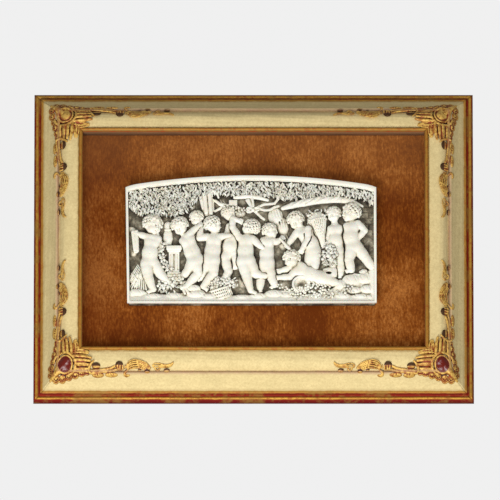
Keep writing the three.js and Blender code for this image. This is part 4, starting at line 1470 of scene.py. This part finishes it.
def strip_bed(line, width, depth):
    """A ribbon that faces the viewer along a line of (x, z), for things to be strewn on."""
    points = []
    for i, (x, z) in enumerate(line):
        run = unit(line[max(i - 1, 0)], line[min(i + 1, len(line) - 1)])
        half = width[i] / 2 if hasattr(width, "__len__") else width / 2
        for side in (-1, 1):
            points.append((x - run[1] * half * side, z + run[0] * half * side, depth))
    return to_frame(points), ribbon_faces(len(line) - 1)


def canopy_bed(depth):
    """A sheet at one depth that fills the canopy, for leaves to be strewn on."""
    points = []
    reach, columns = 104.0, 60
    for i in range(columns + 1):
        x = 2 * reach * i / columns - reach
        low, high = canopy_low(x) + 1.6, crown_height(x) - 0.8
        for z in (low, max(high, low + 1)):
            points.append((x, z, depth))
    return to_frame(points), ribbon_faces(columns)


def ribbon_faces(count):
    """Quads between pairs of points."""
    return [(a, a + 1, a + 3, a + 2) for a in range(0, 2 * count, 2)]


def joined_mesh(meshes):
    """The points in mm and the faces of several meshes in metres, which are used up."""
    points, faces = [], []
    for mesh in meshes:
        start = len(points)
        points += [tuple(v.co / MM) for v in mesh.vertices]
        faces += [tuple(start + k for k in face.vertices) for face in mesh.polygons]
        bpy.data.meshes.remove(mesh)
    return points, faces


# Beds of leaves over the canopy: depth, spacing and seed
CANOPY_LEAVES = [(5.0, 1.6, 3), (6.3, 2.0, 8)]
GARLAND = [(-75.5, 55), (-77.6, 50), (-77, 44), (-76, 38), (-73, 33), (-68, 29.6)]
# Things strewn along a line of (x, z): width, depth, kind, (spacing, smallest, largest), seed
STREWN = [
    (GARLAND, 5.6, 5.6, "leaf", (1.5, 2.4, 3.6), 21),
    (GARLAND, 4.0, 6.4, "flower", (2.2, 2.2, 3.0), 22),
    ([(-80, 17), (-72, 18), (-64, 23), (-58, 22)], 7.0, 6.2, "flower", (2.2, 2.2, 3.4), 23),
    ([(-79, 15), (-70, 13.6), (-62, 20)], 8.0, 5.6, "leaf", (1.6, 3.0, 4.4), 24),
    ([(-35, 17), (-28, 19.6), (-20.6, 18.6), (-15.6, 13.6)], 8.4, 7.4, "flower", (1.9, 2.0, 3.0), 25),
    ([(-37, 16), (-28, 22.6), (-17, 21), (-13, 16)], 5.4, 6.0, "leaf", (1.6, 2.6, 3.8), 26),
    ([(-20, 82), (-13, 85.6), (-6, 83)], 7, 5.6, "flower", (1.9, 1.8, 2.6), 37),
    ([(48.6, 76.6), (55.6, 77.6), (63, 76.6)], 8.4, 7.8, "fruit", (1.8, 1.8, 2.8), 27),
    ([(47.4, 80), (56, 82.4), (65, 80)], 5.0, 6.0, "leaf", (1.6, 2.6, 3.6), 28),
    ([(67, 55), (67, 47), (66, 40), (65.4, 34)], [7, 14, 15, 9], 8.0, "leaf", (1.7, 2.8, 4.0), 29),
    ([(67.4, 52), (67.4, 44), (66, 37)], [6, 13, 12], 8.6, "flower", (2.5, 2.2, 3.4), 30),
    ([(33, 9), (42, 10.6), (52, 12), (60, 13), (67, 15.4)], [7, 11, 11, 9, 5], 6.6, "fruit",
     (2.0, 1.9, 2.7), 31),
    ([(31, 6), (42, 5.8), (56, 6.4), (70, 7), (78, 9)], 6.6, 6.4, "leaf", (1.9, 3.2, 5.0), 32),
    ([(39.4, 14.2), (43.6, 13.2), (47.6, 12)], 5.0, 7.0, "fruit", (1.9, 1.8, 2.6), 33),
    ([(79.4, 12.6), (84, 12.6), (88, 12.4)], 7.0, 7.6, "flower", (2.1, 2.0, 2.8), 34),
    ([(-24.4, 85.4), (-20, 86.8), (-15.4, 84.6)], 4.4, 6.6, "flower", (1.9, 1.9, 2.6), 35),
    ([(22, 17), (27, 14.6), (31, 14)], 4.0, 6.4, "fruit", (1.8, 1.6, 2.2), 36),
]
# More than spacing lets in, so that spacing alone decides
CROWDED = 1e6


def strewn_things(finish):
    """The two pieces of strewn things by name, each as points in mm and faces."""
    tree = strewing_tree()
    patterns = {
        "leaf": loose_object("leaf_pattern", *leaf_blade(), MM),
        "flower": loose_object("flower_pattern", *blossom(), MM),
        "fruit": loose_object("fruit_pattern", *berry(), MM),
    }
    leaves = [
        strew(tree, canopy_bed(depth), patterns["leaf"], finish, (spacing, 2.8, 5.2), (-1.1, 0.8),
              0.55, seed)
        for depth, spacing, seed in CANOPY_LEAVES
    ]
    small = [
        strew(tree, strip_bed(line, width, depth), patterns[kind], finish, sizes, (-3.1, 3.1),
              0.5, seed)
        for line, width, depth, kind, sizes, seed in STREWN
    ]
    for pattern in patterns.values():
        bpy.data.objects.remove(pattern)
    return {"ivory_leaves": joined_mesh(leaves), "ivory_flowers_and_fruit": joined_mesh(small)}


# Patina and painted shade: how enclosed each place of the carving is, from the share of ivory close
# around it, and how deep it lies
def blurred(field, radius, cell):
    """A field on a grid, averaged twice over a cube of about radius mm to each side."""
    reach = max(int(round(radius / cell)), 1)
    for _ in range(2):
        for axis in range(3):
            pad = [(reach + 1, reach) if a == axis else (0, 0) for a in range(3)]
            total = np.cumsum(np.pad(field, pad, mode="edge"), axis=axis, dtype=np.float64)
            size = total.shape[axis]
            far = np.take(total, range(2 * reach + 1, size), axis=axis)
            near = np.take(total, range(0, size - 2 * reach - 1), axis=axis)
            field = ((far - near) / (2 * reach + 1)).astype(np.float32)
    return field


def sampled(field, first, cell, points):
    """Values of a grid at points, blended between its cells."""
    at = np.clip(np.asarray(points) / cell - first, 0, np.array(field.shape) - 1.001)
    base = at.astype(int)
    share = at - base
    value = np.zeros(len(at), np.float32)
    for dx in (0, 1):
        for dz in (0, 1):
            for dd in (0, 1):
                weight = np.ones(len(at))
                for axis, step in enumerate((dx, dz, dd)):
                    weight *= share[:, axis] if step else 1 - share[:, axis]
                value += weight * field[base[:, 0] + dx, base[:, 1] + dz, base[:, 2] + dd]
    return value


class Enclosure:
    """Fine and broad enclosure over the whole carving."""

    def __init__(self, clays, leaf_points):
        whole = Clay((-HALF_WIDTH - 2, -2, 0), (HALF_WIDTH + 2, SIDE_HEIGHT + CROWN + 2, SLAB + 5), CELL)
        for clay in clays:
            whole.merge(clay)
        self.first = whole.first
        solid = np.clip(0.5 - whole.body / CELL, 0, 1)
        index = np.round(leaf_points / CELL).astype(int) - whole.first
        index = np.clip(index, 0, np.array(solid.shape) - 1)
        solid[index[:, 0], index[:, 1], index[:, 2]] = 1
        depth = (np.arange(solid.shape[2]) + whole.first[2]) * CELL
        solid[:, :, depth < FLOOR - 0.3] = 1
        x = (np.arange(solid.shape[0]) + whole.first[0])[:, None] * CELL
        z = (np.arange(solid.shape[1]) + whole.first[1])[None, :] * CELL
        # The rim beside the dancer at the far left counts as ivory too, so the ground beside it takes
        # painted shade from the rim
        rim = outline_distance(np.array(inner_outline()), x[..., None], z[..., None])[..., 0] > 0
        rim &= (x < -90) & (z > 12) & (z < 84)
        solid[rim[:, :, None] & (depth < SLAB)[None, None, :]] = 1
        self.fine = blurred(solid, 0.7, CELL)
        self.broad = blurred(solid, 2.6, CELL)

    def cavity(self, points, normals):
        """0 in the open, rising to 1 in deep and narrow places."""
        ahead = points + normals * 0.5
        fine = sampled(self.fine, self.first, CELL, ahead)
        broad = sampled(self.broad, self.first, CELL, ahead)
        # Painted shade: low relief and the sunk floor darker the deeper they lie
        sunk = np.clip((4.2 - points[:, 2]) / 2.4, 0, 1)
        tight = 2.0 * np.clip(fine - 0.35, 0, 1) + 1.5 * np.clip(broad - 0.4, 0, 1)
        return np.clip(tight + 0.42 * sunk, 0, 1)


def outward_normals(mesh):
    """A mesh's normals over x, z and depth."""
    normals = np.empty(len(mesh.vertices) * 3, np.float32)
    mesh.vertices.foreach_get("normal", normals)
    x, y, z = normals.reshape(-1, 3).T
    return np.stack([x, z, -y], axis=1)


def ivory_finish():
    """Polished ivory, near white on the rounds, with dark brown patina where tools left hollows, and
    painted shade on the deep and low-lying parts.
    """
    f = Finish("ivory")
    cavity = f.stored("cavity")
    smear = f.plus(cavity, f.span(f.noise(500, 4), 0.3, 0.7, -0.05, 0.05))
    clouds = f.span(f.noise(150, 5, 0.65), 0.34, 0.66, -0.34, 0.3)
    smear = f.plus(smear, f.times(cavity, clouds))
    colour = f.ramp(smear, [
        (0.0, (250, 247, 234)), (0.12, (246, 241, 224)), (0.25, (214, 206, 184)),
        (0.42, (150, 142, 122)), (0.6, (96, 88, 72)), (0.85, (40, 32, 24)),
    ])
    warm = f.span(f.noise(70, 3), 0.4, 0.7, 0, 0.3)
    colour = f.mix(warm, colour, (240, 226, 196), "MULTIPLY")
    f.set(Base_Color=colour, Roughness=f.span(cavity, 0, 0.5, 0.38, 0.75))
    f.set(Specular_IOR_Level=0.45, Subsurface_Weight=0.08, Subsurface_Scale=0.002)
    f.bump(f.noise(1400, 3), 0.00006, 0.4)
    return f.material


def panel():
    """The slab: a tapered back, a raised rim and the sunk floor behind the carving."""
    steps = 64
    outer = plaque_outline(0, 0, 0, steps)
    middle = np.array((0, SIDE_HEIGHT / 2))
    shrink = np.array((1 - BACK_TAPER / HALF_WIDTH, 1 - 2 * BACK_TAPER / SIDE_HEIGHT))
    back = (np.array(outer) - middle) * shrink + middle
    # Rim edges are rounded by this much, in two steps
    soft = 0.5
    near = soft * 0.3
    rings = [
        (back, 0), (outer, SLAB - 2.6), (outer, SLAB - soft),
        (plaque_outline(near, near, near, steps), SLAB - near),
        (plaque_outline(soft, soft, soft, steps), SLAB),
        (inner_outline(soft, steps), SLAB),
        (inner_outline(near, steps), SLAB - near),
        (inner_outline(0, steps), SLAB - soft),
        (inner_outline(0, steps), 0.9),
    ]
    points = [(x, z, d) for ring, d in rings for x, z in ring]
    return points, tube_faces(len(rings), len(outer))


def hair_share(spots):
    """1 on the curls of a head, 0 on skin."""
    share = np.zeros(len(spots))
    for p in PUTTI:
        size = p.get("head_size", p.get("size", 1)) * HEAD_SCALE
        middle = np.array((*p["head"], p["depth"] + p.get("head_lift", 0) + HEAD_FORWARD))
        offset = (spots - middle) / (size, size, size * FLAT)
        reach = np.linalg.norm(offset, axis=1)
        on_crown = np.clip((offset[:, 1] + 2.5) / 2, 0, 1)
        share = np.maximum(share, np.clip((reach - 6.9) / 0.6, 0, 1) * on_crown * (reach < 9.8))
    return share


def modelled_lumps(rng):
    """Every lump of clay by the name of its piece, with the figures joined by group."""
    groups = {}
    for p in PUTTI:
        clay = putto(p, rng)
        clay.trim_back(BURIED)
        groups.setdefault(p["group"], []).append(clay)
    lumps = {"ivory_foreground": foreground(), "ivory_backdrop": backdrop(), "ivory_canopy": canopy(rng)}
    for clay in lumps.values():
        clay.trim_back(BURIED)
    for group, clays in groups.items():
        low = np.min([c.first for c in clays], axis=0) * CELL
        high = np.max([c.first + c.body.shape for c in clays], axis=0) * CELL
        whole = Clay(low, high, CELL)
        for clay in clays:
            whole.merge(clay, FIGURE_GROOVE)
        lumps["ivory_putti_" + group] = whole
    return lumps


def patina_and_shade(name, spots, cavity):
    """How dark a piece is at each of its places: its cavity, with what is the piece's own: darker hair,
    and painted shade on the canopy's bank behind the leaves, on the lower leaves, flowers and fruit, and
    on the deep floor and backdrop at the far ends.
    """
    x, z, d = spots.T
    if name == "ivory_panel":
        return cavity * 0
    if name == "ivory_canopy":
        in_shade = (d < 4.9) & (z > canopy_low(x) - 1)
        return np.where(in_shade, np.maximum(cavity, 0.9), cavity)
    if name == "ivory_leaves":
        # Painted shade: the lower bed of leaves darker than the upper
        return cavity * 0.72 + 0.46 * np.clip((5.9 - d) / 0.9, 0, 1) - 0.07
    if name == "ivory_flowers_and_fruit":
        # Painted shade: flowers and fruit darker the farther back they lie
        return cavity * 0.9 + 0.2 * np.clip((6.6 - d) / 1.4, 0, 1)
    if name in ("ivory_floor", "ivory_backdrop"):
        # Painted shade: the deepest floor and backdrop a little darker, most at the two far ends beside
        # the rim
        far_end = np.clip((np.abs(x) - 86) / 6, 0, 1)
        cavity = cavity + (0.06 + 0.14 * far_end) * np.clip((3.6 - d) / 0.8, 0, 1)
        return np.minimum(cavity, 0.6 + 0.3 * (cavity - 0.6))
    if name.startswith("ivory_putti"):
        return 1.2 * cavity + (0.08 + 0.3 * cavity) * hair_share(spots)
    return cavity


CARVING_SEED = 11


def place_carving():
    rng = random.Random(CARVING_SEED)
    finish = ivory_finish()
    lumps = modelled_lumps(rng)
    forms = strewn_things(finish)
    strewn_places = to_plaque(np.concatenate([np.array(points) for points, _ in forms.values()]))
    enclosure = Enclosure(lumps.values(), strewn_places)
    lumps["ivory_floor"] = sunk_floor()
    for name, clay in lumps.items():
        points, faces = clay.skin(BACK_MERGE)
        forms[name] = (to_frame(points), faces)
    points, faces = panel()
    forms["ivory_panel"] = (to_frame(points), faces)
    for name, (points, faces) in forms.items():
        piece = mesh_piece(name, points, faces, ["ivory_plaque"], [finish])
        spots = to_plaque(mesh_places(piece.data))
        cavity = enclosure.cavity(spots, outward_normals(piece.data))
        keep_values(piece.data, "cavity", patina_and_shade(name, spots, cavity))
        if name == "ivory_panel":
            sharpen(piece, 50)


# Corner ornament, modelled for the lower left corner: s runs in along one arm from the frame's
# outer corner, t is the distance in from the outer edge and h the height over the moulding.
# Both arms are alike, mirrored in the corner's diagonal.
ORNAMENT_CELL = 0.5 if FINE else 0.9
ARM_REACH = 121.0
# The stone in the boss: place and half sizes
STONE = (26.8, 26.0)
STONE_SIZE = (5.6, 6.4)
# Values of the glaze_and_shade attribute: glaze over the moulding's ridge and on the stone, and glaze
# with painted shade on a scroll end
GLAZED_RIDGE, GLAZED_STONE, GLAZED_AND_SHADED_END = 0.3, 0.75, 1.0
# Scroll ends with a dark glaze and painted shade on their inner side: place and half sizes
SCROLL_ENDS = [
    (53.7, 24.8, 3.7, 2.5), (73.4, 25.4, 3.4, 3.0), (97.3, 20.7, 2.3, 1.6), (90.8, 21.8, 1.5, 0.9),
    (113.8, 21.4, 2.7, 1.4),
]

# Rounded strokes: route of (s, t), thickness at each place and height
STROKES = [
    ([(16.4, 17), (20.6, 24), (21, 36), (20.9, 48), (21, 60), (21.2, 70)],
     [1.1, 1.4, 1.5, 1.4, 1.2, 0.9], 0.9),
    ([(49, 21), (54.3, 21.2), (61.4, 22), (66.8, 22.9), (69.8, 24.4)], [1.0, 1.1, 1.0, 1.0, 0.9], 1.5),
    ([(48.8, 18.9), (54.3, 19.5), (61.4, 20.2), (66.8, 20.9), (71.7, 22.2), (76, 22)],
     [0.9, 0.9, 0.9, 0.9, 1.0, 0.9], 1.1),
    ([(51.9, 28.6), (49.4, 25.9), (47.7, 23.3), (47.3, 20.9), (48.9, 18.7)],
     [0.7, 1.0, 1.1, 1.0, 0.8], 2.0),
    ([(72.3, 22.2), (71.8, 25)], [1.0, 0.7], 2.0),
    ([(73.9, 21.8), (74.2, 24.9)], [1.0, 0.7], 2.4),
    ([(76.4, 22), (76.2, 24.9)], [1.0, 0.7], 2.0),
    ([(78.3, 22.6), (78.4, 25.8)], [0.6, 0.5], 1.0),
    ([(80.5, 21.7), (78.3, 20), (77.8, 18.3), (79.4, 17.3), (82.2, 17.8)],
     [0.9, 1.1, 1.1, 1.0, 0.7], 0.7),
    ([(103.9, 22.9), (106.1, 21), (108, 22.7)], [0.7, 0.9, 0.7], 0.7),
    ([(22, 36.2), (26.8, 37), (31.3, 34.9), (35.4, 29.4), (36.3, 26), (35.6, 22.6), (33.4, 18.9),
      (30.4, 17.8)],
     [0.8, 0.9, 1.0, 1.0, 1.0, 1.0, 0.9, 0.8], 1.6),
]
# Fluted leaves: upper and lower edge, number of flutes, height
LEAVES = [
    ([(34.4, 33), (38, 32.4), (44.2, 32), (49.4, 30.9)],
     [(36.2, 22.4), (39, 22), (43, 22.2), (46.8, 22.4)], 4, 1.1),
    ([(79.1, 23.4), (80.5, 26.9), (83.7, 29.2), (87, 29.4), (91.4, 28.4), (95.8, 27.1), (99, 24.6),
      (100.4, 22.8)],
     [(80.7, 22), (82.7, 22.6), (85.4, 23), (88.1, 23.4), (91.4, 23), (94.1, 22.2), (96.3, 21.5),
      (97.6, 21)], 5, 1.1),
    ([(101.5, 25), (103.4, 26.6), (107.2, 26.4), (112.1, 25.2), (116.5, 25.4), (118.9, 26.9),
      (119.8, 27.9)],
     [(101.8, 23.8), (104.5, 23.6), (107.8, 23.6), (112.1, 23.6), (116.5, 23.9), (118.7, 25),
      (119.6, 26.4)], 3, 0.8),
    ([(33.4, 37.2), (37.6, 38.4), (43, 38), (47.6, 36.6)],
     [(35.2, 34), (39, 34.2), (43, 34.4), (47, 35)], 3, 0.3),
]
# Gadroons on the outer slope: place and half sizes
GADROONS = [
    (19.4, 15.2, 3.3, 3.0), (24.9, 15.3, 3.3, 2.9), (30.4, 16.6, 3.2, 2.5), (35.9, 17.6, 3.2, 2.2),
    (41.3, 18.7, 3.1, 2.0), (46.0, 19.4, 2.6, 1.8),
]
# Short leaves under the scrolls: place and half sizes
UNDER_LEAVES = [(55.4, 17.9, 5.2, 1.7), (66.8, 18.2, 5.6, 1.7)]


def moulding_under(s, t):
    """Depth of the moulding under an ornament, its small steps smoothed out."""
    w = soft_min(np.asarray(s, float), np.asarray(t, float), 5.0)
    spread = np.linspace(-2.2, 2.2, 9)
    return np.mean([rail_front(np.clip(w + a, 0, RAIL_WIDTH)) for a in spread], axis=0)


def along(route, share):
    """The place a share of the way along a route."""
    at = share * (len(route) - 1)
    return np.array([np.interp(at, range(len(route)), [p[axis] for p in route]) for axis in range(2)])


def rounded(route, radii, steps=4):
    """A route with its corners eased, and its thicknesses to match."""
    count = (len(route) - 1) * steps + 1
    easy, thick = [], []
    for i in range(count):
        share = i / (count - 1)
        near = [along(route, min(max(share + off / (count - 1), 0), 1)) for off in (-1.5, 0, 1.5)]
        easy.append(near[0] * 0.25 + near[1] * 0.5 + near[2] * 0.25)
        thick.append(np.interp(share * (len(radii) - 1), range(len(radii)), radii))
    return easy, thick


def ornament_arm(clay, swap):
    """One arm; swap lays it along the corner's other side."""
    def at(place, h):
        s, t = place
        return (t, s, h) if swap else (s, t, h)

    def stroke(route, radii, h, soft=0.2, carve=False):
        easy, thick = rounded(route, radii)
        clay.strand([at(p, h) for p in easy], thick, 1.0, soft, carve)

    def mound(place, half, h, half_height, soft):
        clay.ball(at(place, h), at(half, half_height), soft)

    eighths = [k / 8 for k in range(9)]
    for upper, lower, flutes, h in LEAVES:
        span = np.mean([np.hypot(*(along(upper, k) - along(lower, k))) for k in (0.2, 0.5, 0.8)])
        thick = span / (flutes - 1) * 0.47
        spine = [(along(upper, k) + along(lower, k)) / 2 for k in eighths]
        stroke(spine, [span * 0.42 * math.sin(math.pi * (0.1 + 0.1 * k)) for k in range(9)], -1.6, 0.1)
        swell = [0.55 + 0.45 * math.sin(math.pi * min(max(k, 0.12), 0.88)) for k in eighths]
        for i in range(flutes):
            share = i / (flutes - 1)
            route = [along(upper, k) * (1 - share) + along(lower, k) * share for k in eighths]
            crown = h + 0.7 * math.sin(math.pi * (0.2 + 0.6 * share))
            stroke(route, [thick * k for k in swell], crown, 0.12)
    for s, t, rs, rt in GADROONS:
        mound((s, t), (rs, rt), 0.2, 1.9, 0.1)
        for share in (0.82, 0.46):
            turns = [math.pi * (1.06 + 0.88 * k / 8) for k in range(9)]
            arc = [(s + rs * share * math.cos(a), t + 0.4 + rt * share * math.sin(a)) for a in turns]
            clay.strand([at(p, 1.9 - share) for p in arc], [0.34] * 9, 1.6, 0.1, carve=True)
    for s, t, rs, rt in UNDER_LEAVES:
        mound((s, t), (rs, rt), 0.3, 1.6, 0.2)
        for i in range(4):
            place = s - rs * 0.6 + i * rs * 0.4
            stroke([(place, t + 1.4), (place + 1.3, t - 1.6)], [0.3, 0.4], 1.8, 0.1, True)
    for route, radii, h in STROKES:
        stroke(route, radii, h)
    for s, t, rs, rt in SCROLL_ENDS:
        mound((s, t), (rs, rt), 0.7, 1.8, 0.15)


def ornament_clay():
    clay = Clay((9, 9, -1.4), (ARM_REACH, ARM_REACH, 4.4), ORNAMENT_CELL)
    for swap in (False, True):
        ornament_arm(clay, swap)
    clay.strand([(24, 24, 0.8), (18, 18, 1.0), (14.2, 14.2, 0.6)], [3.0, 2.4, 1.0], 0.8, 0.3)
    clay.ball((*STONE, 0.2), (7.8, 8.6, 1.4), 0.3)
    steps = 40
    turns = [2 * math.pi * i / steps for i in range(steps + 1)]
    ring = [(STONE[0] + 6.4 * math.cos(a), STONE[1] + 7.2 * math.sin(a), 1.7) for a in turns]
    clay.strand(ring, [0.85] * len(ring), 1, 0.12)
    clay.ball((*STONE, 0.8), (*STONE_SIZE, 2.1), 0.1)
    clay.trim_back(-1.2)
    return clay


def gilt_finish():
    """Antique gold, burnished on the rises, red bole and dark glaze left in the hollows, and painted
    shade on the inner side of the scroll ends.
    """
    f = Finish("gilt_ornament")
    cavity = f.stored("cavity")
    patchy = f.plus(cavity, f.span(f.noise(420, 5, 0.65), 0.3, 0.7, -0.14, 0.14))
    colour = f.ramp(patchy, [
        (0.0, (230, 186, 94)), (0.07, (182, 134, 52)), (0.18, (134, 88, 30)),
        (0.26, (152, 50, 14)), (0.44, (116, 28, 10)), (0.7, (42, 18, 10)),
    ])
    worn = f.span(f.noise(190, 6, 0.7), 0.5, 0.6)
    colour = f.mix(f.times(worn, 0.6), colour, (152, 58, 18))
    glaze_and_shade = f.stored("glaze_and_shade")
    colour = f.mix(f.span(glaze_and_shade, 0.05, 0.3, 0, 0.6), colour, (158, 116, 92))
    colour = f.mix(f.span(glaze_and_shade, 0.35, 0.7), colour, (104, 24, 10))
    # Dark glaze with painted shade on the inner side of the scroll ends
    colour = f.mix(f.span(glaze_and_shade, 0.8, 1.0), colour, (74, 50, 30))
    f.set(Base_Color=colour)
    f.set(Metallic=f.span(f.plus(patchy, glaze_and_shade), 0.15, 0.4, 0.25, 0.0))
    f.set(Specular_IOR_Level=f.span(glaze_and_shade, 0.8, 1.0, 0.45, 0.12))
    dull, shining, dusty = ((grey, grey, grey) for grey in (196, 96, 210))
    f.set(Roughness=f.ramp(glaze_and_shade, [(0.3, dull), (0.7, shining), (0.9, dusty)]))
    f.bump(f.noise(900, 4), 0.00012, 0.5)
    return f.material


def glaze_and_shade_on(points):
    """The glaze on an ornament's places: over the ridge, on the stone, and with painted shade on the
    inner side of the scroll ends.
    """
    plan, h = points[:, :2], points[:, 2]
    across = plan.min(axis=1)
    glaze_and_shade = np.clip(1 - np.abs(across - 20.9) / 1.6, 0, 1) * GLAZED_RIDGE
    in_stone = np.hypot(*((plan - STONE) / STONE_SIZE).T) < 1.02
    glaze_and_shade = np.where(in_stone & (h > 0), GLAZED_STONE, glaze_and_shade)
    for s, t, rs, rt in SCROLL_ENDS:
        for place, half in (((s, t), (rs, rt)), ((t, s), (rt, rs))):
            on_end = np.hypot(*((plan - place) / half).T) < 1
            # Painted shade: only the inner side of each scroll end, away from the outer edge
            on_end &= across > t - 0.1 * rt
            glaze_and_shade = np.where(on_end & (h > 0.2), GLAZED_AND_SHADED_END, glaze_and_shade)
    return glaze_and_shade


def place_ornaments():
    clay = ornament_clay()
    solid = np.clip(0.5 - clay.body / clay.cell, 0, 1)
    h = (np.arange(solid.shape[2]) + clay.first[2]) * clay.cell
    solid[:, :, h < 0] = 1
    fine, broad = blurred(solid, 0.6, clay.cell), blurred(solid, 1.8, clay.cell)
    first = clay.first
    points, faces = clay.skin()
    finish = gilt_finish()
    depth = moulding_under(points[:, 0], points[:, 1]) + points[:, 2]
    glaze_and_shade = glaze_and_shade_on(points)
    for row in ("bottom", "top"):
        for side in ("left", "right"):
            flip_x, flip_z = side == "right", row == "top"
            x = (points[:, 0] + LOW[0]) * (-1 if flip_x else 1)
            z = (points[:, 1] - FRAME_HEIGHT / 2) * (-1 if flip_z else 1) + CENTRE_Z
            places = np.stack([x, -depth, z], axis=1)
            turned = [f[::-1] for f in faces] if flip_x != flip_z else faces
            name = f"corner_ornament_{row}_{side}"
            piece = mesh_piece("carved_" + name, places, turned, [name], [finish])
            own_normals = outward_normals(piece.data) * (-1 if flip_x else 1, -1 if flip_z else 1, 1)
            ahead = points + 0.4 * own_normals
            near = sampled(fine, first, clay.cell, ahead)
            wide = sampled(broad, first, clay.cell, ahead)
            cavity = np.clip(2.7 * np.clip(near - 0.3, 0, 1) + 1.6 * np.clip(wide - 0.42, 0, 1), 0, 1)
            keep_values(piece.data, "cavity", cavity)
            # The upper corners have plain gold bosses in place of stones
            bare_boss = flip_z & (glaze_and_shade == GLAZED_STONE)
            keep_values(piece.data, "glaze_and_shade", np.where(bare_boss, 0, glaze_and_shade))


# Studio: the camera looks up from below, as the photo does
VIEW_WIDTH = 427.8 * MM
VIEW_DISTANCE = 16.0
ELEVATION = math.radians(-19.2)
AIM = Vector((-3.1 * MM, -EDGE_DEPTH * MM, (CENTRE_Z - 1.75) * MM))


def point_at(thing, place):
    thing.rotation_euler = (place - thing.location).to_track_quat("-Z", "Y").to_euler()


def set_camera():
    data = bpy.data.cameras.new("camera")
    camera = bpy.data.objects.new("camera", data)
    bpy.context.collection.objects.link(camera)
    bpy.context.scene.camera = camera
    away = Vector((0, -math.cos(ELEVATION), math.sin(ELEVATION)))
    camera.location = AIM + away * VIEW_DISTANCE
    point_at(camera, AIM)
    data.lens = data.sensor_width * VIEW_DISTANCE / VIEW_WIDTH
    data.clip_start, data.clip_end = 0.05, 40


def light(name, place, size, power):
    data = bpy.data.lights.new(name, "AREA")
    data.size = size
    data.energy = power
    lamp = bpy.data.objects.new(name, data)
    bpy.context.collection.objects.link(lamp)
    lamp.location = place
    point_at(lamp, Vector((0, 0, CENTRE_Z * MM)))


def set_studio():
    light("key_from_below", (-0.3, -1.0, -1.25), 0.8, 18.5)
    light("front_fill", (0.4, -1.9, -0.45), 1.2, 10.5)
    world = bpy.data.worlds.new("studio")
    bpy.context.scene.world = world
    world.use_nodes = True
    nodes, links = world.node_tree.nodes, world.node_tree.links
    sky = nodes["Background"]
    shown = nodes.new("ShaderNodeBackground")
    shown.inputs["Color"].default_value = (0.87, 0.87, 0.87, 1)
    sky.inputs["Color"].default_value = (1, 1, 1, 1)
    sky.inputs["Strength"].default_value = 0.26
    paths = nodes.new("ShaderNodeLightPath")
    either = nodes.new("ShaderNodeMixShader")
    links.new(paths.outputs["Is Camera Ray"], either.inputs[0])
    links.new(sky.outputs[0], either.inputs[1])
    links.new(shown.outputs[0], either.inputs[2])
    links.new(either.outputs[0], nodes["World Output"].inputs["Surface"])

    reach, floor_height = 9.0, -6.2
    corners = ((-reach, -reach), (reach, -reach), (reach, reach), (-reach, reach))
    floor = loose_object("floor", [(*corner, floor_height) for corner in corners], [(0, 1, 2, 3)])
    f = Finish("pale_floor")
    f.set(Base_Color=f.ramp(f.noise(3), [(0.3, (226, 226, 224)), (0.7, (234, 234, 232))]), Roughness=0.8)
    floor.data.materials.append(f.material)
    bpy.context.scene.view_settings.view_transform = "Standard"


set_camera()
set_studio()
place_rails()
place_ornaments()
place_velvet()
dress_board()
place_carving()
